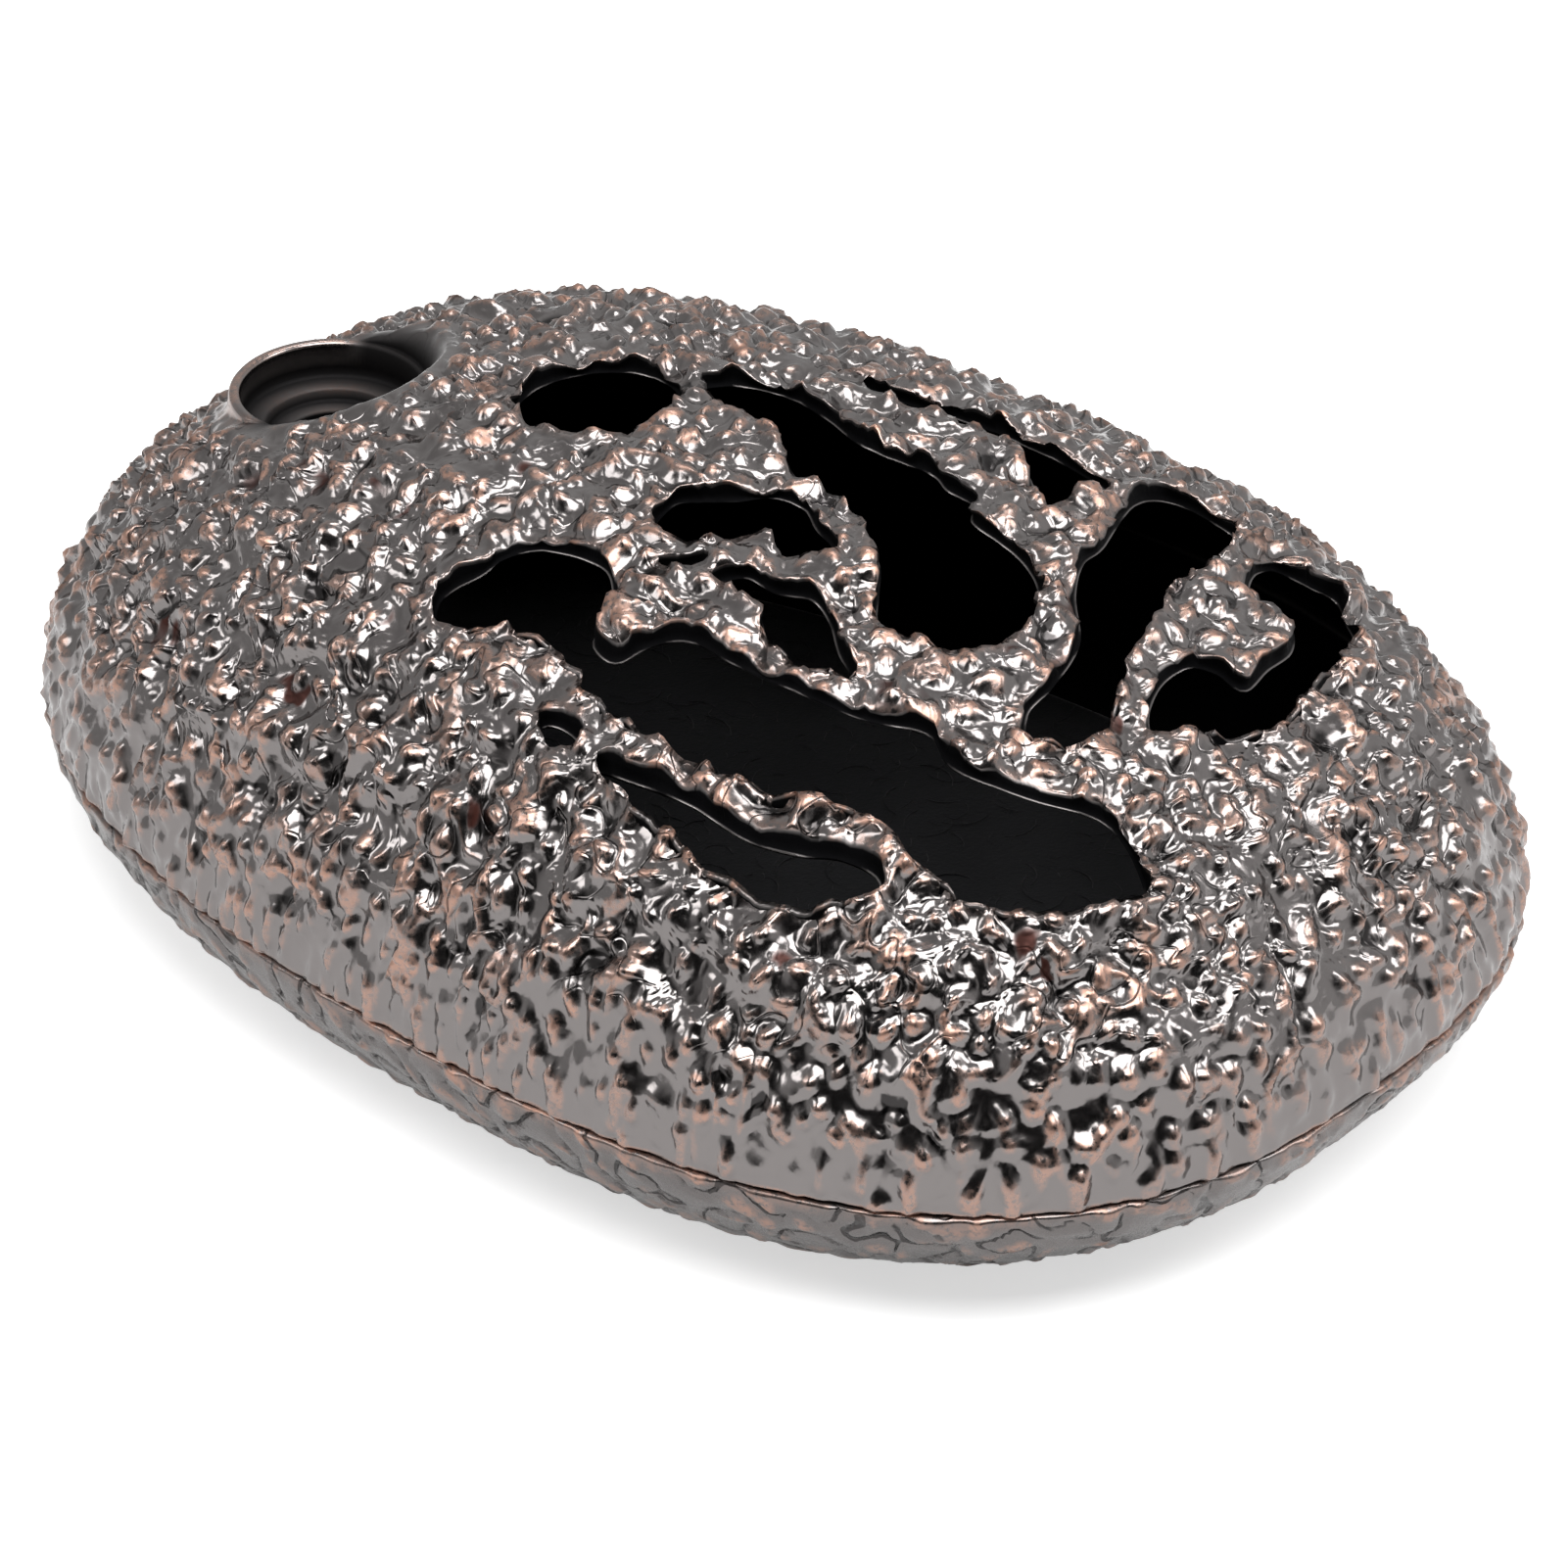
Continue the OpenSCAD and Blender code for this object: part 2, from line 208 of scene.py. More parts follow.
def walked(steps):
    """How far along a line each point lies, from the lengths between them."""
    return np.concatenate([[0], np.cumsum(steps)])


def at_height(plan, z):
    """Points of the plan, raised to z."""
    return np.column_stack([plan, np.broadcast_to(z, len(plan))])


class Pebble:
    """The burner's plan outline, dome and bowl, in millimetres."""

    def __init__(self, sizes):
        self.n, self.m, self.q = sizes.plan_power, sizes.dome_power, sizes.bowl_power
        self.egg = sizes.egg
        self.half_l = (LID_HIGH.x - LID_LOW.x) / 2 / MM
        angles = np.radians(np.arange(0, 180, 0.5))
        peak = (power(np.sin(angles), 2 / self.n)
                * (1 + self.egg * power(np.cos(angles), 2 / self.n))).max()
        self.half_w = (LID_HIGH.y - LID_LOW.y) / 2 / MM / peak
        self.seam = LID_LOW.z / MM
        self.lid_h = LID_HIGH.z / MM - self.seam
        self.base = TRAY_LOW.z / MM
        self.bowl_h = (self.seam - self.base) / (
            1 - sizes.foot_share ** self.q) ** (1 / self.q)
        steps = np.radians(np.linspace(90, 0, 400))
        self.rise = power(np.sin(steps), 2 / self.m)
        self.share = power(np.cos(steps), 2 / self.m)
        mean = (self.half_l + self.half_w) / 2
        self.walk = walked(np.hypot(np.diff(self.share) * mean,
                                    np.diff(self.rise) * self.lid_h)) / mean

    def outline(self, angle, inset=0.0, share=1.0):
        """Points of the plan outline at these angles, drawn in by inset and scaled."""
        x = (self.half_l - inset) * power(np.cos(angle), 2 / self.n) * share
        y = (self.half_w - inset) * power(np.sin(angle), 2 / self.n) * share
        return x, y * (1 + self.egg * x / self.half_l)

    def level_ring(self, angles, inset, share, z):
        return at_height(np.stack(self.outline(angles, inset, share), 1), z)

    def even_angles(self, step):
        """Angles at which points of the outline lie a step apart."""
        dense = np.linspace(0, 2 * math.pi, 4001)
        x, y = self.outline(dense)
        walk = walked(np.hypot(np.diff(x), np.diff(y)))
        count = round(walk[-1] / step)
        return np.interp(np.arange(count) * walk[-1] / count, walk, dense)

    def straight(self, x, y):
        """The way across, with the wide end drawn in as far as the narrow one."""
        return y / (1 + self.egg * x / self.half_l)

    def share_of(self, x, y):
        """Share of the outline that a point of the plan lies on."""
        return ((np.abs(x) / self.half_l) ** self.n
                + (np.abs(self.straight(x, y)) / self.half_w) ** self.n) ** (1 / self.n)

    def dome(self, x, y):
        """Height of the lid's skin."""
        share = np.clip(self.share_of(x, y), 0, 1)
        return self.seam + self.lid_h * (1 - share ** self.m) ** (1 / self.m)

    def bowl(self, depth):
        """Share of the outline at a depth below the seam."""
        return (1 - (depth / self.bowl_h) ** self.q) ** (1 / self.q)

    def out(self, x, y, z, height, p):
        """Direction straight out of the dome or the bowl."""
        step = 0.02
        dx = (self.share_of(x + step, y) - self.share_of(x - step, y)) / (2 * step)
        dy = (self.share_of(x, y + step) - self.share_of(x, y - step)) / (2 * step)
        dz = power((z - self.seam) / height, p - 1) / abs(height)
        lean = self.share_of(x, y) ** (p - 1)
        found = np.stack([lean * dx, lean * dy, dz * np.sign(height)], 1)
        return found / np.linalg.norm(found, axis=1)[:, None]

    def unroll(self, x, y):
        """Plan to a flat sheet on which distances over the dome are nearly kept."""
        share = np.clip(self.share_of(x, y), 1e-6, 1)
        walk = np.interp(share, self.share, self.walk)
        return x / share * walk, self.straight(x, y) / share * walk

    def roll(self, u, v):
        """The sheet back to a point of the dome."""
        walk = ((np.abs(u) / self.half_l) ** self.n
                + (np.abs(v) / self.half_w) ** self.n) ** (1 / self.n)
        walk = np.maximum(walk, 1e-9)
        share = np.interp(walk, self.walk, self.share)
        x = u / walk * share
        y = v / walk * share * (1 + self.egg * x / self.half_l)
        z = self.seam + self.lid_h * np.interp(walk, self.walk, self.rise)
        return x, y, z


def smooth_curve(points, step):
    """Closed curve through the points, with its points a step apart."""
    p = np.array(points, float)
    before, after, last = np.roll(p, 1, 0), np.roll(p, -1, 0), np.roll(p, -2, 0)
    t = np.linspace(0, 1, 12, endpoint=False)[:, None, None]
    dense = 0.5 * (2 * p + (after - before) * t
                   + (2 * before - 5 * p + 4 * after - last) * t ** 2
                   + (3 * p - before - 3 * after + last) * t ** 3)
    dense = dense.transpose(1, 0, 2).reshape(-1, 2)
    closed = np.vstack([dense, dense[:1]])
    walk = walked(np.linalg.norm(np.diff(closed, axis=0), axis=1))
    count = max(12, round(walk[-1] / step))
    at = np.arange(count) * walk[-1] / count
    return np.stack([np.interp(at, walk, closed[:, i]) for i in (0, 1)], 1)


def unit_circle(count):
    turn = np.arange(count) * 2 * math.pi / count
    return np.stack([np.cos(turn), np.sin(turn)], 1)


def circle(centre, radius, step):
    count = max(24, round(2 * math.pi * radius / step))
    return np.array(centre) + radius * unit_circle(count)


def outward(curve):
    """Unit normals of a closed curve that point away from its inside."""
    along = np.roll(curve, -1, 0) - np.roll(curve, 1, 0)
    x, y = curve.T
    turn = np.sign(np.sum(x * np.roll(y, -1) - np.roll(x, -1) * y))
    normal = np.stack([along[:, 1], -along[:, 0]], 1) * turn
    return normal / np.linalg.norm(normal, axis=1)[:, None]


def noise_at(points, width, seed):
    """Smooth noise at points of the plan, between about -1 and 1."""
    return np.array([noise.noise(Vector((x / width, y / width, seed))) for x, y in points])


def seam_wave(angles, seed):
    """How unevenly the two lips meet, from 0 to about 1."""
    return 0.5 + 0.8 * noise_at(6 * np.stack([np.cos(angles), np.sin(angles)], 1), 1, seed)


def ragged_edge(curve, amount):
    """The curve with lumps of the relief leaning over it."""
    lean = noise_at(curve, 1.5, 3.7) + 0.25 * noise_at(curve, 0.9, 9.1)
    return curve - outward(curve) * (lean * 1.6 * amount)[:, None]


def distance_to(points, others):
    """Distance from each point of the plan to the nearest of the others."""
    tree = kdtree.KDTree(len(others))
    for i, (x, y) in enumerate(others):
        tree.insert((x, y, 0), i)
    tree.balance()
    return np.array([tree.find((x, y, 0))[2] for x, y in points])


def hex_points(half_u, half_v, step):
    """Points of a flat sheet, each a step from its six neighbours."""
    rows = int(half_v / (step * HEX_ROW)) + 1
    columns = int(half_u / step) + 1
    j, i = np.mgrid[-rows:rows + 1, -columns:columns + 1]
    return np.stack([(i * step + (j % 2) * step / 2).ravel(), (j * step * HEX_ROW).ravel()], 1)


def inside(points, loop):
    """Which points lie inside a closed loop."""
    x, y = points.T
    odd = np.zeros(len(points), bool)
    for (x0, y0), (x1, y1) in zip(loop, np.roll(loop, -1, 0)):
        if y0 != y1:
            odd ^= ((y0 > y) != (y1 > y)) & (x < x0 + (y - y0) * (x1 - x0) / (y1 - y0))
    return odd


def tile_sheet(rim, holes, step):
    """Triangles over a flat sheet inside the rim and outside the holes.

    The rim's points come first, then each hole's, then the sheet's own."""
    edges, start = [], 0
    for loop in [rim] + holes:
        n = len(loop)
        edges += [(start + i, start + (i + 1) % n) for i in range(n)]
        start += n
    fixed = np.vstack([rim] + holes)
    grid = hex_points(*np.abs(rim).max(0), step)
    grid = grid[distance_to(grid, fixed) > 0.6 * step]
    keep = inside(grid, rim)
    for hole in holes:
        near = np.where(keep & np.all((grid > hole.min(0)) & (grid < hole.max(0)), axis=1))[0]
        keep[near[inside(grid[near], hole)]] = False
    points = np.vstack([fixed, grid[keep]])
    cut = delaunay_2d_cdt([Vector(p) for p in points], edges, [], 1, 1e-7, False)
    if len(cut[0]) != len(points):
        raise RuntimeError("two outlines of the sheet cross")
    faces = np.array(cut[2])
    edge_only = np.where(np.all(faces < start, axis=1))[0]
    centres = points[faces[edge_only]].mean(1)
    bad = np.zeros(len(centres), bool)
    for hole in holes:
        bad |= inside(centres, hole)
    return points, np.delete(faces, edge_only[bad], axis=0)


class Skin:
    """Gathers points, faces and the values that the relief and the finish read.

    rest is the place on the pattern, out the way that the relief goes, relief its share,
    wear how far the plating is rubbed, and shade how dark the casting is made: its black
    inside, which is partly painted shade, and painted shade on the piercing walls and in the
    seat's bores and pocket."""

    VECTORS = ("rest", "out")

    def __init__(self):
        self.points, self.faces = [], []
        self.values = {"rest": [], "out": [], "relief": [], "wear": [], "shade": []}
        self.count = 0

    def add(self, points, out=(0, 0, 0), relief=0.0, wear=0.0, shade=0.0, rest=None):
        """Adds points with their values, and gives their numbers."""
        n = len(points)
        self.points.append(points)
        given = (points if rest is None else rest, out, relief, wear, shade)
        for (name, parts), value in zip(self.values.items(), given):
            parts.append(np.broadcast_to(value, (n, 3) if name in self.VECTORS else n))
        self.count += n
        return np.arange(self.count - n, self.count)

    def add_faces(self, faces):
        self.faces += faces.tolist()

    def strip(self, first, second):
        """Joins two closed rings of as many points with quads."""
        self.add_faces(np.stack([first, np.roll(first, -1), np.roll(second, -1), second], 1))

    def ring(self, previous, points, *values, **named):
        """Adds a closed ring, and joins it to the previous one if there is one."""
        ring = self.add(points, *values, **named)
        if previous is not None:
            self.strip(previous, ring)
        return ring

    def mesh(self, name):
        """The mesh in metres, closed and facing outwards, with its values on the points."""
        mesh = bpy.data.meshes.new(name)
        mesh.from_pydata((np.vstack(self.points) * MM).tolist(), [], self.faces)
        for key, parts in self.values.items():
            kind, field = (("FLOAT_VECTOR", "vector") if key in self.VECTORS
                           else ("FLOAT", "value"))
            values = np.concatenate(parts) * (MM if key == "rest" else 1)
            attribute = mesh.attributes.new(key, kind, "POINT")
            attribute.data.foreach_set(field, values.astype(np.float32).ravel())
        work = bmesh.new()
        work.from_mesh(mesh)
        bmesh.ops.remove_doubles(work, verts=work.verts, dist=1e-7)
        bmesh.ops.recalc_face_normals(work, faces=work.faces)
        work.to_mesh(mesh)
        work.free()
        return mesh


class Value:
    """A node's output, so that maths on it can be written as an expression."""

    def __init__(self, graph, socket):
        self.graph, self.socket = graph, socket

    def is_vector(self):
        return self.socket.type in ("VECTOR", "RGBA")

    def maths(self, operation, *values):
        kind = "ShaderNodeMath"
        if self.is_vector():
            kind = "ShaderNodeVectorMath"
            values = [(v,) * 3 if isinstance(v, (int, float)) else v for v in values]
        return self.graph.node(kind, {"operation": operation}, dict(enumerate(values)))

    def __add__(self, other):
        return self.maths("ADD", self, other)

    def __radd__(self, other):
        return self.maths("ADD", other, self)

    def __sub__(self, other):
        return self.maths("SUBTRACT", self, other)

    def __rsub__(self, other):
        return self.maths("SUBTRACT", other, self)

    def __mul__(self, other):
        if self.is_vector() and isinstance(other, Value) and not other.is_vector():
            return self.graph.node("ShaderNodeVectorMath", {"operation": "SCALE"},
                                   {0: self, "Scale": other})
        return self.maths("MULTIPLY", self, other)

    def __rmul__(self, other):
        return self.maths("MULTIPLY", other, self)

    def __truediv__(self, other):
        return self.maths("DIVIDE", self, other)

    def highest(self, other):
        return self.maths("MAXIMUM", self, other)

    def lowest(self, other):
        return self.maths("MINIMUM", self, other)

    def size(self):
        return self.maths("ABSOLUTE", self)

    def ease(self, low, high, start=0.0, end=1.0):
        """Smooth step from start at low to end at high."""
        return self.graph.node("ShaderNodeMapRange", {"interpolation_type": "SMOOTHSTEP"},
                               {0: self, 1: low, 2: high, 3: start, 4: end})


class Graph:
    """Adds nodes to a tree, in a shader or in geometry alike."""

    def __init__(self, tree):
        self.tree = tree

    def node(self, kind, settings=None, values=None, output=0):
        """Adds a node. Gives the output asked for, or the node itself where that is None."""
        node = self.tree.nodes.new(kind)
        for key, setting in (settings or {}).items():
            setattr(node, key, setting)
        for key, value in (values or {}).items():
            if isinstance(value, Value):
                self.tree.links.new(value.socket, node.inputs[key])
            else:
                node.inputs[key].default_value = value
        return node if output is None else Value(self, node.outputs[output])

    def outputs(self, kind, *wanted):
        """Adds a node and gives some of its outputs."""
        node = self.node(kind, output=None)
        return [Value(self, node.outputs[name]) for name in wanted]

    def axes(self, vector):
        """X, Y and Z of a vector."""
        parts = self.node("ShaderNodeSeparateXYZ", {}, {0: vector}, None)
        return [Value(self, output) for output in parts.outputs]

    def noise(self, place, width, detail=0.0, rough=0.5, output="Fac", space="3D"):
        """Cloudy noise whose blobs are about width metres across."""
        return self.node("ShaderNodeTexNoise", {"noise_dimensions": space}, {
            "Vector": place, "Scale": 1 / width, "Detail": detail, "Roughness": rough}, output)

    def cells(self, place, width, space="3D"):
        """Distance to the nearest of scattered seeds, in cell widths."""
        return self.node("ShaderNodeTexVoronoi", {"voronoi_dimensions": space}, {
            "Vector": place, "Scale": 1 / width, "Randomness": 0.85}, "Distance")

    def blend(self, mask, first, second):
        """Colour that goes from first to second as mask goes from 0 to 1."""
        return self.node("ShaderNodeMix", {"data_type": "RGBA"}, {0: mask, 6: first, 7: second}, 2)

    def surface(self, height, values):
        """Ends a material in a Principled shader over a bump of this height, in metres."""
        values["Normal"] = self.node("ShaderNodeBump", {}, {
            "Strength": 1.0, "Distance": 1.0, "Height": height}, "Normal")
        shader = self.node("ShaderNodeBsdfPrincipled", {}, values)
        self.node("ShaderNodeOutputMaterial", {}, {"Surface": shader}, None)


def lava_height(graph, place, lump):
    """Height of the lava relief, and the fine creases and beads on top of it.

    place holds the two ways over the unrolled skin and the height above the table."""
    def cloud(at, width, output="Fac"):
        return graph.noise(at, width, output=output, space="2D")

    tall = graph.axes(place)[2]
    up, high = tall.ease(*DRIPS_END), tall.ease(*GIRTH_END)
    region = cloud(place, 3.6 * lump)
    bent = place + (cloud(place, 1.2 * lump, "Color") - 0.5) * (0.7 * lump)
    ground = cloud(bent, 1.4 * lump)
    # Lumps: cells that vary in size, and worm-like ridges where the region has them
    size = 0.44 + cloud(place, 2.1 * lump).ease(0.4, 0.6) * 0.16
    knobs = (1.0 - graph.cells(bent, lump, "2D") / size).ease(0.0, 0.8)
    studs = girth_cells(graph, place, 0.95 * lump, 0.85).ease(0.56, 0.03) * 0.95
    studs = studs + girth_cells(graph, place, 0.55 * lump, 0.8).ease(0.45, 0.05) * 0.25
    knobs = (knobs * high + studs * (1.0 - high)) * (0.6 + region.ease(0.35, 0.6) * 0.18)
    worms = (cloud(bent, 1.9 * lump) - 0.5).size().ease(0.09, 0.0)
    lumps = knobs.highest(worms * region.ease(0.42, 0.56) * 0.62)
    # The broad form: lumps above, upright drips above the seam, uneven ground and pits
    drips = girth_cells(graph, place, 0.75 * lump, 0.26).ease(0.52, 0.04) * 0.64
    broad = lumps * (0.38 + up * 0.62) + drips * (1.0 - up) + ground.ease(0.25, 0.75) * 0.22
    pits = ground.ease(0.4, 0.22) * region.ease(0.45, 0.6)
    broad = broad - pits * up * 0.25 + 0.12
    # The fine form, which is too small for the mesh
    beads = graph.cells(bent, 0.42 * lump, "2D").ease(0.45, 0.05) * region.ease(0.66, 0.42)
    crease = (cloud(bent, 1.3 * lump) - 0.48).size().ease(0.035, 0.0) * region.ease(0.36, 0.52)
    return broad, (beads * 0.045 - crease * 0.05) * high * tall.ease(*CROWN, 1.0, 0.45)


def girth_cells(graph, place, width, share):
    """Distance to seeds scattered round the foot of the lid, in cell widths.

    Each half of the girth has its own chart, so neither shows the line where it is cut.
    The cells are upright ovals where share is less than 1."""
    u, v, z = graph.axes(place)
    sway = (graph.noise(place, 2 * width, output="Color") - 0.5) * (0.5 * width)
    halves = []
    for turn in (1, -1):
        along = v.maths("ARCTAN2", v * turn, u * turn) * GIRTH_R
        chart = graph.node("ShaderNodeCombineXYZ", {}, {0: along, 1: z * share * turn}) + sway
        halves.append(graph.cells(chart, width, "2D"))
    right = u.ease(-0.001, 0.001)
    return halves[0] * right + halves[1] * (1.0 - right)


def wrinkle_height(graph, place, lump):
    """Height of the shallow wrinkles on the tray, and the thin creases between them."""
    swirl = graph.noise(place, 1.6 * lump, output="Color") - 0.5
    bent = place + swirl * (1.3 * lump)
    fold = (graph.noise(bent, 1.5 * lump) - 0.5).size()
    knobs = graph.cells(bent, 1.1 * lump).ease(0.6, 0.05)
    broken = graph.noise(place, 1.8 * lump).ease(0.42, 0.58)
    return fold.ease(0.0, 0.07) * 0.5 + knobs * 0.5, fold.ease(0.035, 0.0) * broken * -0.2


def new_tree(name, **inputs):
    """Graph of a geometry tree with these named inputs, and what comes in at each."""
    tree = bpy.data.node_groups.new(name, "GeometryNodeTree")
    tree.is_modifier = True
    inputs = {"Geometry": "Geometry", **inputs}
    for socket, kind in inputs.items():
        tree.interface.new_socket(socket, in_out="INPUT", socket_type="NodeSocket" + kind)
    tree.interface.new_socket("Geometry", in_out="OUTPUT", socket_type="NodeSocketGeometry")
    g = Graph(tree)
    return [g] + g.outputs("NodeGroupInput", *inputs)


def finish_tree(g, geometry, material):
    """Ends a tree in real geometry with its material."""
    real = g.node("GeometryNodeRealizeInstances", {}, {"Geometry": geometry})
    done = g.node("GeometryNodeSetMaterial", {}, {"Geometry": real, "Material": material})
    g.node("NodeGroupOutput", {}, {0: done}, None)
    return g.tree


def relief_tree(name, height_of, lump, material):
    """Geometry nodes that move the skin by its relief and keep the relief's height."""
    g, geometry, depth = new_tree(name, Depth="Float")

    def read(attribute, kind):
        return g.node("GeometryNodeInputNamedAttribute", {"data_type": kind}, {"Name": attribute})

    height, _ = height_of(g, read("rest", "FLOAT_VECTOR"), lump)
    rise = (height - SKIN_LEVEL) * depth * read("relief", "FLOAT")
    moved = g.node("GeometryNodeSetPosition", {}, {
        "Geometry": geometry, "Offset": read("out", "FLOAT_VECTOR") * rise})
    stored = g.node("GeometryNodeStoreNamedAttribute", {"data_type": "FLOAT", "domain": "POINT"}, {
        "Geometry": moved, "Name": "height", "Value": height})
    return finish_tree(g, stored, material)


def felt_tree(material):
    """Geometry nodes that scatter short curled fibres over the mat's upper face."""
    g, mesh, count, seed = new_tree("felt_fibres", Fibres="Int", Seed="Int")
    up = g.axes(g.node("GeometryNodeInputNormal"))[2]
    face_area, tilt, full_turn = 0.005, 0.09, 6.283
    spots = g.node("GeometryNodeDistributePointsOnFaces", {"distribute_method": "RANDOM"}, {
        "Mesh": mesh, "Selection": up.maths("GREATER_THAN", up, 0.9),
        "Density": count / face_area, "Seed": seed}, "Points")
    arc = g.node("GeometryNodeCurveArc", {"mode": "RADIUS"}, {
        "Resolution": 6, "Radius": 0.0016, "Start Angle": 0.0, "Sweep Angle": 1.9}, "Curve")
    thread = g.node("GeometryNodeCurvePrimitiveCircle", {"mode": "RADIUS"}, {
        "Resolution": 3, "Radius": 0.000035}, "Curve")
    fibre = g.node("GeometryNodeCurveToMesh", {}, {
        "Curve": arc, "Profile Curve": thread, "Fill Caps": True}, "Mesh")
    turn = g.node("FunctionNodeRandomValue", {"data_type": "FLOAT_VECTOR"}, {
        0: (-tilt, -tilt, 0.0), 1: (tilt, tilt, full_turn), "Seed": seed})
    size = g.node("FunctionNodeRandomValue", {"data_type": "FLOAT"}, {
        2: 0.6, 3: 1.5, "Seed": seed}, 1)
    placed = g.node("GeometryNodeInstanceOnPoints", {}, {
        "Points": spots, "Instance": fibre, "Rotation": turn, "Scale": size}, "Instances")
    both = g.node("GeometryNodeJoinGeometry", {}, {0: placed})
    g.tree.links.new(mesh.socket, both.socket.node.inputs[0])
    return finish_tree(g, both, material)


def pads_tree(material, pad):
    """Geometry nodes that set one pad on each place."""
    g, places = new_tree("pad_places")
    shape = g.node("GeometryNodeObjectInfo", {"transform_space": "ORIGINAL"}, {"Object": pad},
                   "Geometry")
    placed = g.node("GeometryNodeInstanceOnPoints", {}, {
        "Points": places, "Instance": shape}, "Instances")
    return finish_tree(g, placed, material)


def bake_tree(name, mesh, tree, **inputs):
    """The mesh as the tree leaves it, as a plain smooth piece at the origin."""
    source = bpy.data.objects.new(name + "_source", mesh)
    collection = bpy.context.scene.collection
    collection.objects.link(source)
    modifier = source.modifiers.new("Tree", "NODES")
    modifier.node_group = tree
    for item in tree.interface.items_tree:
        if item.in_out == "INPUT" and item.name in inputs:
            modifier[item.identifier] = inputs[item.name]
    bpy.context.view_layer.update()
    result = bpy.data.meshes.new_from_object(
        source.evaluated_get(bpy.context.evaluated_depsgraph_get()))
    bpy.data.objects.remove(source)
    result.name = name
    piece = bpy.data.objects.new(name, result)
    collection.objects.link(piece)
    for polygon in result.polygons:
        polygon.use_smooth = True
    return piece


class LidBuilder:
    """The pierced lid with its cone seat, in millimetres."""

    # Rings down a piercing's wall: share of the way down, share of the flash, and painted shade,
    # which darkens the wall and leaves the flash line bright
    WALL_RINGS = [(0.1, 0, 0.5), (0.22, 0, 1), (0.5, 0, 1), (0.9, 0.1, 1), (0.92, 1, 0),
                  (0.95, 1, 0.1)]
    FLASH, UNDER_FLASH = 0.2, 0.6
    # Rings round the lid's lip at the seam: inset, rise, share of the relief, and wear
    SEAM_RINGS = [(0.05, 0.22, 0.5, 0.7), (0.22, 0.04, 0.5, 1), (0.6, 0, 0.4, 0.8),
                  (1.5, 0, 0, 0.2), (1.75, 0.1, 0, 0)]
    # The broad hollows, as in the solid
    DRIFT, BEND, FADE, EVEN_BAND, GAIN = 2, 13, 3, 9, 1.6
    # Heights above the seam at which the outer and the under sheet end, and the under step
    RIM_RISE, UNDER_RISE, UNDER_STEP = 0.55, 0.35, 1.7
    # How the pattern's lumps are drawn out towards the rim
    PULL_BAND, PULL = 0.2, 0.6
    # The ring round the seat and its points, the seat's lip, and its foot under the dome
    SEAT_RING, SEAT_POINTS, SEAT_LIP, SEAT_FOOT = 9.2, 132, 0.95, 2.2

    def __init__(self, sizes):
        self.sizes = sizes
        self.outer = Pebble(sizes)
        self.inner = self.shrunk(sizes.wall / MM)
        self.skin = Skin()
        self.step = sizes.mesh_step / MM
        self.angles = self.outer.even_angles(self.step)
        self.seat = np.array([sizes.seat_x, sizes.seat_y]) / MM
        self.round = unit_circle(self.SEAT_POINTS)
        self.rim_z = float(self.outer.dome(*self.seat[:, None])[0]) - sizes.rim_sink / MM

    def shrunk(self, inset):
        """The inside of the lid: the pebble with its wall taken off."""
        pebble = Pebble(self.sizes)
        pebble.egg *= (pebble.half_l - inset) / pebble.half_l
        pebble.half_l -= inset
        pebble.half_w -= inset
        pebble.lid_h -= inset
        return pebble

    def sheet(self, pebble, rim_rise, holes, step):
        """A pierced dome's points, triangles and pattern places: rim first, then the holes."""
        walk = np.interp(1 - rim_rise / pebble.lid_h, 1 - pebble.rise, pebble.walk)
        u = pebble.half_l * power(np.cos(self.angles), 2 / pebble.n) * walk
        v = pebble.half_w * power(np.sin(self.angles), 2 / pebble.n) * walk
        flat = [np.stack(pebble.unroll(*hole.T), 1) for hole in holes]
        flat_points, faces = tile_sheet(np.stack([u, v], 1), flat, step)
        points = np.stack(pebble.roll(*flat_points.T), 1)
        walk = np.hypot(*(flat_points / [pebble.half_l, pebble.half_w]).T)
        past = np.maximum(0, walk - walk.max() + self.PULL_BAND)
        drawn = 1 - self.PULL * past ** 2 / (past + 0.05) / walk.clip(0.1)
        return points, faces, np.column_stack([flat_points * drawn[:, None], points[:, 2]])

    def build(self):
        smooth = [smooth_curve(points, self.step) for points in PIERCINGS]
        smooth.append(circle(MOON_AT, self.sizes.moon_r / MM, self.step))
        ragged = [ragged_edge(curve, self.sizes.ragged / MM) for curve in smooth]
        points, faces, rest = self.sheet(self.outer, self.RIM_RISE,
                                         ragged + [self.seat_circle(self.SEAT_RING)], self.step)
        out = self.outer.out(*points.T, self.outer.lid_h, self.outer.m)
        edge = 0.4 * ease(distance_to(points[:, :2], np.vstack(ragged)), 0.9, 0.1)
        # The relief is calmer round the seat, just above the seam and at the piercings
        seat = np.linalg.norm(points[:, :2] - self.seat, axis=1)
        calm = 0.3 + 0.7 * ease(seat, self.SEAT_RING, self.SEAT_RING + 1.2)
        points = points - out * self.hollows(points)[:, None]
        calm = calm * (0.8 + 0.2 * ease(points[:, 2] - self.outer.seam, 1, 5)) * (1 - 0.6 * edge)
        self.top_points, self.top_out, self.top_rest = points, out, rest
        top = self.skin.add(points, out, calm, edge, rest=rest)
        self.skin.add_faces(top[faces])
        lower = [curve - outward(curve) * self.FLASH * self.UNDER_FLASH for curve in smooth]
        lower.append(self.seat_circle(self.sizes.seat_r / MM + self.SEAT_FOOT))
        points, faces, _ = self.sheet(self.inner, self.UNDER_RISE, lower, self.UNDER_STEP)
        self.under_z = points[:, 2]
        # The underside is dark: its black inside, which is partly painted shade
        under = self.skin.add(points, shade=1)
        self.skin.add_faces(under[faces][:, ::-1])
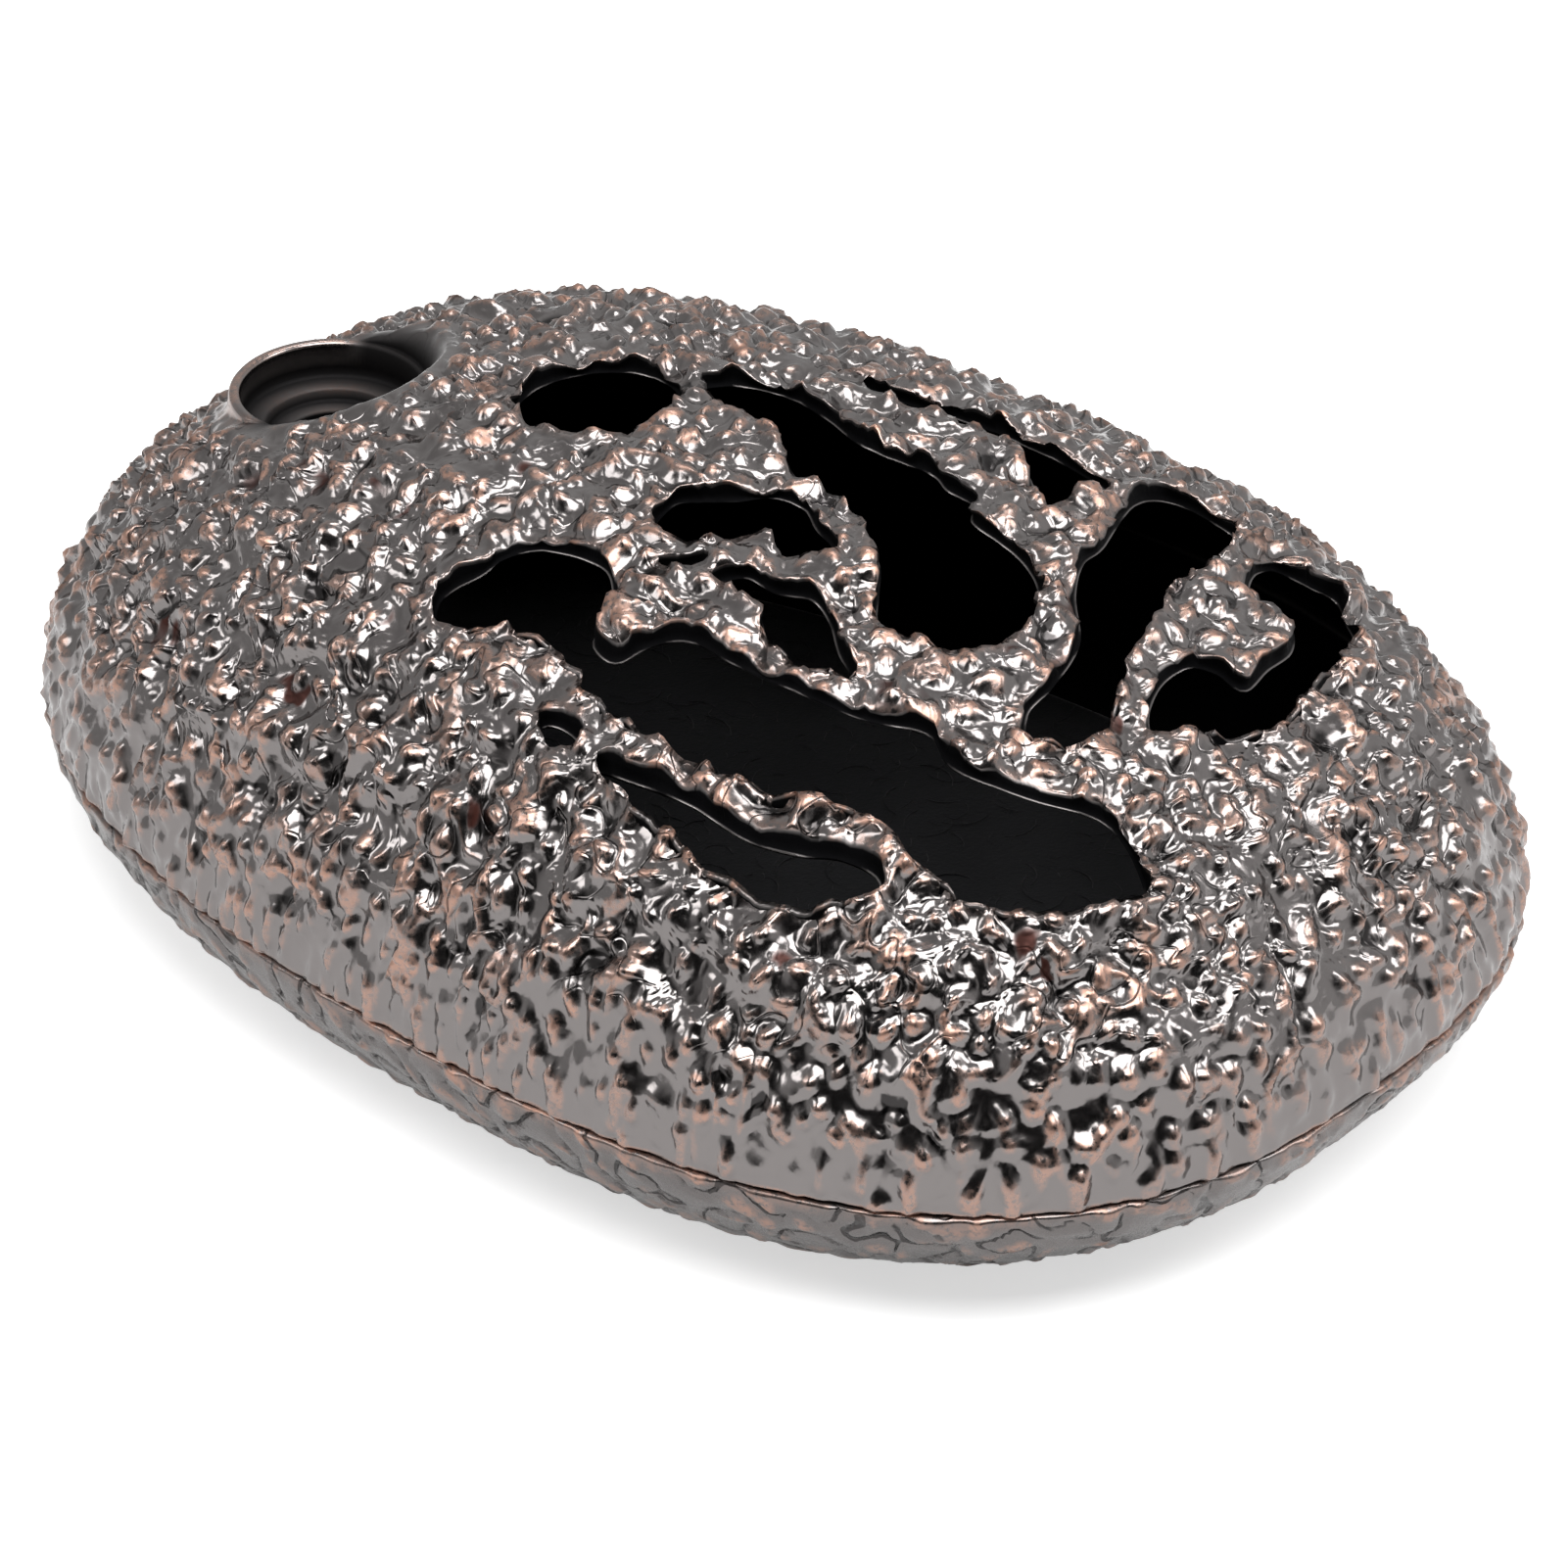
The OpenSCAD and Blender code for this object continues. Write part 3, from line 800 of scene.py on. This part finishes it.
        # Both sheets begin with their rims and holes, point for point, so walls join them
        at = len(self.angles)
        self.seam_edge(top[:at], under[:at])
        for curve, leaning in zip(smooth, ragged):
            ring = top[at:at + len(curve)]
            self.wall(ring, under[ring], curve, leaning)
            at += len(curve)
        ring = top[at:at + self.SEAT_POINTS]
        self.cone_seat(ring, under[ring])
        return self.skin

    def hollows(self, points):
        """Depth of the broad hollows that the solid has too."""
        pitch = self.sizes.swell_pitch / MM

        def wave(v, w):
            drift = self.DRIFT * np.sin(np.radians(self.BEND * w))
            return np.cos(2 * math.pi * (v + drift) / pitch)

        x, y, z = points.T
        low = np.clip(0.5 - self.GAIN * (wave(x, y) + wave(y, z) + wave(z, x)) / 3, 0, 1)
        rim_r = self.sizes.seat_r / MM + self.SEAT_LIP
        seat = np.hypot(x - self.seat[0], y - self.seat[1]) - rim_r
        calm = np.clip((z - self.outer.seam) / self.EVEN_BAND - 0.2, 0, 1)
        for distance in (seat, np.hypot(x, y)):
            calm = np.minimum(calm, np.clip(distance / self.FADE - 0.5, 0, 1))
        return self.sizes.swell / MM * low * calm

    def seat_circle(self, radius):
        return self.seat + self.round * radius

    def seam_edge(self, top, under):
        """The lid's lip: round the outer edge and in to the inner one."""
        gap = 0.03 + 0.12 * seam_wave(self.angles, 1.3)
        outer = self.outer
        out = outer.out(*outer.level_ring(self.angles, 0, 1.0, outer.seam + 0.01).T,
                        outer.lid_h, outer.m)
        previous = top
        # Rings more than 1 mm in are dark like the inside, partly painted shade
        for inset, rise, relief, wear in self.SEAM_RINGS:
            points = outer.level_ring(self.angles, inset, 1.0, outer.seam + rise + gap)
            previous = self.skin.ring(previous, points, out, relief, wear,
                                      1.0 if inset > 1 else 0.0, self.top_rest[:len(points)])
        self.skin.strip(previous, under)

    def wall(self, top, under, curve, leaning):
        """The wall of a piercing, from its ragged upper edge to the flash at its foot."""
        high_z = self.top_points[top, 2]
        low_z = self.inner.dome(*curve.T)
        away = outward(curve)
        # Painted shade that darkens stretches of the bright flash line
        flash_shade = ease(noise_at(curve, 3, 5.3), 0.05, -0.25)
        previous = top
        for part, flash, shade in self.WALL_RINGS:
            mix = ease(part, 0.0, 0.6)
            xy = leaning * (1 - mix) + (curve - away * self.FLASH * flash) * mix
            z = high_z * (1 - part) + low_z * part
            previous = self.skin.ring(previous, at_height(xy, z), self.top_out[top], 1 - part, 0,
                                      np.clip(shade + flash * flash_shade, 0, 1), self.top_rest[top])
        self.skin.strip(previous, under)

    def cone_seat(self, top, under):
        """A collar that stands proud downhill and lies in a pocket uphill."""
        s = self.sizes
        rim, r = self.rim_z, s.seat_r / MM
        start = self.top_points[top]
        ahead = self.seat_circle(self.SEAT_RING - 0.1)
        slope = (start[:, 2] - self.outer.dome(*ahead.T)) / 0.1
        near = self.outer.dome(*self.seat_circle(r + 1).T)
        up = ease(near - rim, -0.6, 0.5)
        # A curve leaves the dome along its slope and comes down steeply on the collar
        end_r = r + self.SEAT_LIP - 0.5 * up
        end_z = rim - 0.5 * (1 - up)
        lift = np.clip((near - end_z) * 0.75, -1.4, 1.3)
        none = np.zeros(len(start))
        a = np.column_stack([none + self.SEAT_RING, start[:, 2]])
        b = a + np.column_stack([none - 0.8, -0.8 * slope])
        d = np.column_stack([end_r, end_z])
        c = d + np.column_stack([none, lift])
        previous = top
        out = self.top_out[top]
        # Painted shade darkens the pocket uphill, more towards the collar
        for t in np.linspace(0, 1, 15)[1:]:
            rz = (1 - t) ** 3 * a + 3 * t * (1 - t) ** 2 * b + 3 * t ** 2 * (1 - t) * c + t ** 3 * d
            previous = self.seat_ring(previous, rz[:, 0], rz[:, 1], out, 0.3 * (1 - t),
                                      0.6 * t * (1 - up), (1 - (1 - t) ** 2) * 0.95 * up)
        # Radius, height and wear of each ring over the rim, then down the bores
        floor = rim - s.seat_depth / MM
        step_z, step_r, hole = floor - s.step_depth / MM, s.step_r / MM, s.smoke_r / MM
        foot = step_z - s.web / MM
        crest = [(end_r - 0.04, rim - 0.2 * (1 - up), 0.5), (end_r - 0.2 + 0.12 * up, rim, 0.8),
                 (r + 0.32, rim + 0.03, 0.8), (r + 0.12, rim - 0.05, 0.4), (r, rim - 0.3, 0)]
        bore = [(r, floor + 0.9, 0.1), (r, floor + 0.3, 0), (r - 0.3, floor, 0),
                (step_r + 0.25, floor, 0.3), (step_r, floor - 0.2, 0.4), (step_r, step_z + 0.25, 0),
                (step_r - 0.25, step_z, 0), (hole + 0.2, step_z, 0.3), (hole, step_z - 0.2, 0.3),
                (hole, foot + 0.1, 0), (hole + 0.2, foot, 0)]
        # Painted shade darkens the crest uphill
        for radius, z, wear in crest:
            previous = self.seat_ring(previous, radius, z, out, 0, wear * (0.75 - 0.65 * up),
                                      0.9 * up)
        # Painted shade in the bores: the smoke hole darkest, the ledges lighter than the walls
        for radius, z, wear in bore:
            shade = 1 if z < step_z - 0.1 else 0.75 if wear > 0.2 else 0.95
            previous = self.seat_ring(previous, radius, z, out, 0, wear, shade)
        z = np.minimum(foot, self.under_z[top] - 0.1)
        previous = self.seat_ring(previous, r + 2.0, z, out, 0, 0, 1)
        self.skin.strip(previous, under)

    def seat_ring(self, previous, radius, z, out, relief, wear, shade):
        xy = self.seat_circle(np.broadcast_to(radius, self.SEAT_POINTS)[:, None])
        rest = at_height(np.stack(self.outer.unroll(*xy.T), 1), z)
        return self.skin.ring(previous, at_height(xy, z), out, relief, wear, shade, rest)


class TrayBuilder:
    """The shallow tray: wrinkled outside, plain inside, with the lip that finds the lid."""

    # The lip's rounded corners, and where its straight wall begins above the seam
    ROUND, HALF_ROUND, LIP_FOOT = 0.45, 0.12, 4
    # Spacing of the points of the underside, of the floor inside, and round a pocket
    PLATE_STEP, FLOOR_STEP, POCKET_STEP = 1.3, 3.0, 0.9

    def __init__(self, sizes):
        self.sizes = sizes
        self.shape = Pebble(sizes)
        self.skin = Skin()
        self.step = sizes.mesh_step / MM
        self.angles = self.shape.even_angles(self.step)
        self.floor_z = self.shape.base + sizes.floor / MM

    def put(self, previous, inset, share, z, *values, **named):
        points = self.shape.level_ring(self.angles, inset, share, z)
        return self.skin.ring(previous, points, *values, **named)

    def build(self):
        first, side, previous = self.bowl_side()
        self.underside(previous)
        seam = self.shape.seam
        gap = 0.02 + 0.06 * seam_wave(self.angles, 7.9)
        previous = self.put(first, 0.05, 1, seam - 0.2 - gap, side, 0.5, 0.25)
        previous = self.put(previous, 0.25, 1, seam - gap, side, 0.4, 0.5)
        # From here in, the tray is dark: its black inside, which is partly painted shade
        previous = self.put(previous, 1.4, 1, seam - gap, wear=0.3, shade=1)
        wall, lip_wall = self.sizes.wall / MM, self.sizes.lip_wall / MM
        lip_inset = (self.sizes.wall + self.sizes.lip_gap) / MM
        previous = self.put(previous, lip_inset, 1, seam - gap, shade=1)
        previous = self.lip(previous, lip_inset, lip_wall)
        deep = seam - self.floor_z
        for part in (0.25, 0.5, 0.75, 0.93):
            depth = deep * part
            inset = (lip_inset + lip_wall) * (1 - part) + wall * part
            previous = self.put(previous, inset, self.shape.bowl(depth), seam - depth, shade=1)
        self.plate(previous, wall + 0.6, self.shape.bowl(deep), self.floor_z, [],
                   self.FLOOR_STEP, True)
        return self.skin

    def bowl_side(self):
        """The outside of the bowl: its first ring, the way out there, and its last ring."""
        shape = self.shape
        height = shape.seam - shape.base
        rings, ways = [], []
        for depth in self.spread(height):
            share, z = shape.bowl(depth), shape.seam - depth
            ways.append(shape.out(*shape.level_ring(self.angles, 0, share, z).T,
                                  -shape.bowl_h, shape.q))
            relief = 0.35 + 0.65 * ease(depth, height - 0.3, height - 1.5)
            rings.append(self.put(rings[-1] if rings else None, 0, share, z, ways[-1], relief,
                                  0.25 * ease(depth, 1.2, 0.4)))
        return rings[0], ways[0], rings[-1]

    def lip(self, previous, lip_inset, lip_wall):
        """The lip that finds the lid: up its outside, over its top and down its inside."""
        shape, top = self.shape, TRAY_HIGH.z / MM
        inner = shape.lid_h - self.sizes.wall / MM
        for inset, z in [(0, shape.seam + self.LIP_FOOT), (0, top - self.ROUND),
                         (self.HALF_ROUND, top - self.HALF_ROUND), (self.ROUND, top),
                         (lip_wall - self.ROUND, top),
                         (lip_wall - self.HALF_ROUND, top - self.HALF_ROUND),
                         (lip_wall, top - self.ROUND), (lip_wall, shape.seam + self.LIP_FOOT),
                         (lip_wall, shape.seam)]:
            edge = z > top - 0.4
            share = (1 - ((z - shape.seam) / inner) ** shape.m) ** (1 / shape.m)
            # The lip's inner face is dark like the inside, partly painted shade; its outer face and
            # top are darkened less
            previous = self.put(previous, lip_inset + inset, share, z, wear=0.1 if edge else 0,
                                shade=1 if inset and not edge else 0.7)
        return previous

    def spread(self, height):
        """Depths of the rings, a step apart along the profile."""
        depth = np.linspace(0.4, height, 400)
        across = self.shape.bowl(depth) * (self.shape.half_l + self.shape.half_w) / 2
        walk = walked(np.hypot(np.diff(depth), np.diff(across)))
        count = round(walk[-1] / self.step)
        return np.interp(np.linspace(0, walk[-1], count + 1), walk, depth)

    def plate(self, previous, inset, share, z, holes, step, up):
        """A flat floor that closes a ring, with any round holes."""
        rim = self.shape.level_ring(self.angles, inset, share, z)[:, :2]
        points, faces = tile_sheet(rim, holes, step)
        # The floor inside is dark like the rest of the inside, partly painted shade; the underside
        # is not
        flat = self.skin.add(at_height(points, z), (0, 0, -1), 0.0 if up else 0.3, 0,
                             1.0 if up else 0.0)
        self.skin.add_faces(flat[faces] if up else flat[faces][:, ::-1])
        self.skin.strip(previous, flat[:len(rim)])
        return flat

    def underside(self, previous):
        """The flat cast underside with a pocket for each pad."""
        base = self.shape.base
        holes = [circle(at, PAD_R + PAD_GAP, self.POCKET_STEP) for at in pad_places()]
        flat = self.plate(previous, 0.7, self.sizes.foot_share, base, holes, self.PLATE_STEP, False)
        at = len(self.angles)
        for hole in holes:
            roof = self.skin.ring(flat[at:at + len(hole)], at_height(hole, base + PAD_POCKET))
            self.skin.faces.append(roof.tolist())
            at += len(hole)


def pad_places():
    """Middles of the four pads in plan."""
    x = PADS_HIGH.x / MM - PAD_R
    y = PADS_HIGH.y / MM - PAD_R
    return [(sx * x, sy * y) for sx in (-1, 1) for sy in (-1, 1)]


def blank_graph(block):
    """Graph of a new material or world, with its tree emptied."""
    block.use_nodes = True
    block.node_tree.nodes.clear()
    return Graph(block.node_tree)


def opaque(colour, gain=1.0):
    return (*[min(1, gain * c) for c in colour], 1)


def casting_material(name, colours, height_of, lump, depth, rough, tone):
    """Black nickel over copper: worn on the lump tips, brown in the hollows, with painted shade
    in the creases, the pits and the parts that the shade value darkens.
    """
    material = bpy.data.materials.new(name)
    g = blank_graph(material)
    place = g.node("ShaderNodeAttribute", {"attribute_name": "rest"}, {}, "Vector")
    height, relief, wear, shade = (
        g.node("ShaderNodeAttribute", {"attribute_name": key}, {}, "Fac")
        for key in ("height", "relief", "wear", "shade"))
    here = g.node("ShaderNodeTexCoord", output="Object")
    tall = g.axes(here)[2]
    _, fine = height_of(g, place, lump)
    blotch = g.noise(here, 2.4 * lump, 1.0)
    rub = g.noise(here, 0.2 * lump, 2.0, 0.6)
    # Copper shows on the tips of the lumps, a little more of it on the flank
    flank = tall.ease(0.013, 0.017) * tall.ease(0.027, 0.022)
    tips = (height + flank * 0.07).ease(0.54, 0.86) * relief.ease(0.1, 0.5)
    tips = tips * tall.ease(0.012, 0.02, 0.65, 1.0)
    rubbed = tips * (0.5 + blotch.ease(0.35, 0.65) * 0.5) + wear * blotch.ease(0.3, 0.6)
    worn = rubbed.lowest(1.0) * rub.ease(0.25, 0.6)
    # Brown patina lies in a few hollows of the upper side
    brown = (0.4 - height).ease(0.0, 0.2) * relief * g.noise(here, 3 * lump, 1.0).ease(0.66, 0.7)
    brown = brown * tall.ease(0.022, 0.028)
    # Painted shade: creases and pits are darkened towards black
    painted_crease_shade = (0.0 - fine).ease(0.01, 0.04) * relief.ease(0.0, 0.4) * 0.65
    painted_pit_shade = (0.14 - height).ease(0.0, 0.12) * relief * 0.8
    colour = g.blend(worn * 0.8, opaque(colours.nickel, tone), opaque(colours.copper))
    colour = g.blend(painted_crease_shade.highest(painted_pit_shade), colour, opaque(colours.inside))
    colour = g.blend(brown * 0.95, colour, opaque(colours.patina))
    # Parts marked dark turn black: the black inside, partly painted shade, and painted shade on
    # walls, bores and pocket
    colour = g.blend(shade, colour, opaque(colours.inside))
    roughness = rough + (rub - 0.5) * 0.12 + worn * 0.2 + brown * 0.35 + shade * 0.5
    g.surface(fine * relief * depth + (rub - 0.5) * 0.000006, {
        "Base Color": colour, "Metallic": 1.0, "Roughness": roughness})
    return material


def felt_material(colours):
    material = bpy.data.materials.new("fire_felt")
    g = blank_graph(material)
    here = g.node("ShaderNodeTexCoord", output="Object")
    cloud = g.noise(here, 0.004, 3.0)
    fluff = g.noise(here, 0.0004, 3.0, 0.7)
    colour = g.blend(cloud * 0.6 + fluff * 0.4, opaque(colours.felt), opaque(colours.felt, 2.4))
    g.surface(fluff * 0.00006, {
        "Base Color": colour, "Roughness": 0.95, "Specular IOR Level": 0.15,
        "Sheen Weight": 0.1, "Sheen Roughness": 0.5})
    return material


def rubber_material(colours):
    material = bpy.data.materials.new("pad_rubber")
    g = blank_graph(material)
    here = g.node("ShaderNodeTexCoord", output="Object")
    dust = g.noise(here, 0.0015, 3.0, 0.6)
    colour = g.blend(dust.ease(0.45, 0.8), opaque(colours.rubber), opaque(colours.rubber, 2.6))
    g.surface(g.noise(here, 0.0003, 2.0) * 0.00004, {
        "Base Color": colour, "Roughness": 0.72 + dust * 0.15})
    return material


def floor_material(colours):
    """Pale floor: lit by the lamps, and white to the camera and in reflections."""
    material = bpy.data.materials.new("studio_floor")
    g = blank_graph(material)
    camera, glossy, through = g.outputs("ShaderNodeLightPath", "Is Camera Ray", "Is Glossy Ray",
                                        "Is Transmission Ray")
    seen = camera * 0.6 + glossy.highest(through) * 0.3
    matt = g.node("ShaderNodeBsdfDiffuse", {}, {"Color": opaque(colours.floor)})
    glow = g.node("ShaderNodeEmission", {}, {"Color": (1, 1, 1, 1), "Strength": seen})
    both = g.node("ShaderNodeAddShader", {}, {0: matt, 1: glow})
    g.node("ShaderNodeOutputMaterial", {}, {"Surface": both}, None)
    return material


def back_vector(azimuth, elevation):
    """The way back from the burner at these angles, in degrees."""
    a, e = math.radians(azimuth), math.radians(elevation)
    return Vector((math.sin(a) * math.cos(e), -math.cos(a) * math.cos(e), math.sin(e)))


def studio_world(azimuth, elevation):
    """A light tent with a dark opening round the camera."""
    world = bpy.data.worlds.new("studio")
    g = blank_graph(world)
    x, y, z = g.axes(g.node("ShaderNodeTexCoord", output="Generated"))
    back = back_vector(azimuth, elevation)
    towards = x * back.x + y * back.y + z * back.z
    turn = math.radians(azimuth)
    left = x * -math.cos(turn) - y * math.sin(turn)
    walls = (0.54 + z.ease(0.85, 0.3) * 0.3) * left.ease(0.0, 0.9, 1.0, 0.7)
    walls = walls * towards.ease(-1.0, -0.3, 0.6, 1.0)
    strength = 0.015 + towards.ease(0.9, 0.42) * walls
    sky = g.node("ShaderNodeBackground", {}, {"Color": (1, 1, 1, 1), "Strength": strength})
    g.node("ShaderNodeOutputWorld", {}, {"Surface": sky}, None)
    return world


def aim(name, data, target, azimuth, elevation, distance):
    """Stands a lamp or the camera off the target, turned to look at it."""
    thing = bpy.data.objects.new(name, data)
    back = back_vector(azimuth, elevation)
    thing.location = target + back * distance
    thing.rotation_euler = back.to_track_quat("Z", "Y").to_euler()
    bpy.context.scene.collection.objects.link(thing)
    return thing


class BURNER_OT_studio(bpy.types.Operator):
    """Set the floor, the softboxes, the world and the camera"""

    bl_idname = "burner.studio"
    bl_label = "Studio"

    def execute(self, context):
        scene = context.scene
        studio = scene.burner_studio
        mesh = bpy.data.meshes.new("studio_floor")
        half = FLOOR_HALF
        mesh.from_pydata([(-half, -half, 0), (half, -half, 0), (half, half, 0), (-half, half, 0)],
                         [], [(0, 1, 2, 3)])
        mesh.materials.append(floor_material(scene.burner_colours))
        floor = bpy.data.objects.new("studio_floor", mesh)
        scene.collection.objects.link(floor)
        target = Vector((studio.target_x, studio.target_y, studio.target_z))
        for name, (turn, lift, distance, width, height, part) in SOFTBOXES.items():
            light = bpy.data.lights.new(name, "AREA")
            light.shape = "RECTANGLE"
            light.size, light.size_y, light.energy = width, height, studio.lamp * part
            aim(name, light, target, studio.azimuth + turn, lift, distance)
        scene.world = studio_world(studio.azimuth, studio.elevation)
        scene.view_settings.view_transform = "Standard"
        view = bpy.data.cameras.new("camera")
        view.lens, view.sensor_width = studio.lens, 36
        view.clip_start, view.clip_end = 0.01, 50
        scene.camera = aim("camera", view, target, studio.azimuth, studio.elevation,
                           studio.distance)
        return {"FINISHED"}


def casting_piece(context, name, node, body, slot, builder, height_of, depth, rough, tone):
    """Builds a casting's skin, bakes its relief and gives it its finish and its body."""
    lump = context.scene.burner_sizes.lump
    material = casting_material(slot, context.scene.burner_colours, height_of, lump, depth,
                                rough, tone)
    tree = relief_tree(name + "_relief", height_of, lump, material)
    piece = bake_tree(name, builder.build().mesh(name), tree, Depth=depth)
    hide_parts(node)
    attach(piece, body)


class BURNER_OT_lid(bpy.types.Operator):
    """Build the pierced lid with its cone seat"""

    bl_idname = "burner.lid"
    bl_label = "Pierced Lid"

    def execute(self, context):
        sizes = context.scene.burner_sizes
        casting_piece(context, "lid_skin", "lid", "lid", "lid_casting", LidBuilder(sizes),
                      lava_height, sizes.relief, rough=0.19, tone=1.0)
        return {"FINISHED"}


class BURNER_OT_tray(bpy.types.Operator):
    """Build the shallow tray with its locating lip"""

    bl_idname = "burner.tray"
    bl_label = "Tray"

    def execute(self, context):
        sizes = context.scene.burner_sizes
        casting_piece(context, "tray_skin", "tray", "tray", "tray_casting", TrayBuilder(sizes),
                      wrinkle_height, sizes.wrinkle, rough=0.27, tone=0.76)
        return {"FINISHED"}


class BURNER_OT_mat(bpy.types.Operator):
    """Lay the fire-resistant felt mat with its loose fibres"""

    bl_idname = "burner.mat"
    bl_label = "Fire Mat"

    def execute(self, context):
        scene = context.scene
        shape = Pebble(scene.burner_sizes)
        x, y = shape.outline(shape.even_angles(MAT_STEP))
        ring = np.stack([x * (MAT_HIGH.x / MM) / x.max(), y * (MAT_HIGH.y / MM) / y.max()], 1)
        low, high = MAT_LOW.z / MM, MAT_HIGH.z / MM
        skin = Skin()
        previous = None
        for inset, z in [(0.6, low), (0.1, low + 0.3), (0, low + 1.2), (0.05, high - 0.7),
                         (0.3, high - 0.25), (0.8, high - 0.05)]:
            loop = skin.ring(previous, at_height(ring - outward(ring) * inset, z))
            if previous is None:
                skin.faces.append(loop[::-1].tolist())
            previous = loop
        points, faces = tile_sheet(ring - outward(ring) * 1.3, [], MAT_STEP)
        top = skin.add(at_height(points, high - 0.14 + 0.12 * noise_at(points, 5, 2.0)))
        skin.add_faces(top[faces])
        skin.strip(previous, top[:len(ring)])
        tree = felt_tree(felt_material(scene.burner_colours))
        piece = bake_tree("fire_mat_felt", skin.mesh("fire_mat_felt"), tree, Fibres=1400, Seed=4)
        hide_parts("fire_mat")
        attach(piece, "mat")
        return {"FINISHED"}


class BURNER_OT_pads(bpy.types.Operator):
    """Stick the four anti-slip pads into their pockets"""

    bl_idname = "burner.pads"
    bl_label = "Foot Pads"

    def execute(self, context):
        low, high = PADS_LOW.z / MM, PADS_HIGH.z / MM
        profile = [(1.2, low), (2.6, low), (3.6, low), (PAD_R - 0.25, low),
                   (PAD_R - 0.07, low + 0.07), (PAD_R, low + 0.25), (PAD_R, high - 0.1),
                   (PAD_R - 0.1, high)]
        skin = Skin()
        rings = [skin.add(at_height(radius * unit_circle(PAD_POINTS), z)) for radius, z in profile]
        skin.faces += [rings[0][::-1].tolist(), rings[-1].tolist()]
        for first, second in zip(rings, rings[1:]):
            skin.strip(first, second)
        pad = bpy.data.objects.new("pad_master", skin.mesh("pad"))
        spots = bpy.data.meshes.new("pad_spots")
        spots.from_pydata([(x * MM, y * MM, 0) for x, y in pad_places()], [], [])
        tree = pads_tree(rubber_material(context.scene.burner_colours), pad)
        piece = bake_tree("foot_pads_rubber", spots, tree)
        bpy.data.objects.remove(pad)
        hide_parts("foot_pads")
        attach(piece, "tray")
        return {"FINISHED"}


class BURNER_PT_panel(bpy.types.Panel):
    """Sizes, colours and the steps that build the burner"""

    bl_idname = "BURNER_PT_panel"
    bl_label = "Incense Burner"
    bl_space_type = "VIEW_3D"
    bl_region_type = "UI"
    bl_category = "Burner"

    def draw(self, context):
        for name in GROUPS:
            group = getattr(context.scene, name)
            box = self.layout.box()
            for key in group.bl_rna.properties.keys():
                if key not in ("rna_type", "name"):
                    box.prop(group, key)
        for operator in STEPS:
            self.layout.operator(operator.bl_idname)


STEPS = (BURNER_OT_studio, BURNER_OT_lid, BURNER_OT_tray, BURNER_OT_mat, BURNER_OT_pads)
GROUPS = {"burner_sizes": BurnerSizes, "burner_colours": BurnerColours,
          "burner_studio": BurnerStudio}
CLASSES = (*GROUPS.values(), *STEPS, BURNER_PT_panel)


def register():
    for cls in CLASSES:
        bpy.utils.register_class(cls)
    for name, group in GROUPS.items():
        setattr(bpy.types.Scene, name, bpy.props.PointerProperty(type=group))


def unregister():
    for name in GROUPS:
        delattr(bpy.types.Scene, name)
    for cls in reversed(CLASSES):
        bpy.utils.unregister_class(cls)


def main():
    register()
    bpy.ops.burner.studio()
    bpy.ops.burner.lid()
    bpy.ops.burner.tray()
    bpy.ops.burner.mat()
    bpy.ops.burner.pads()


if __name__ == "__main__":
    main()
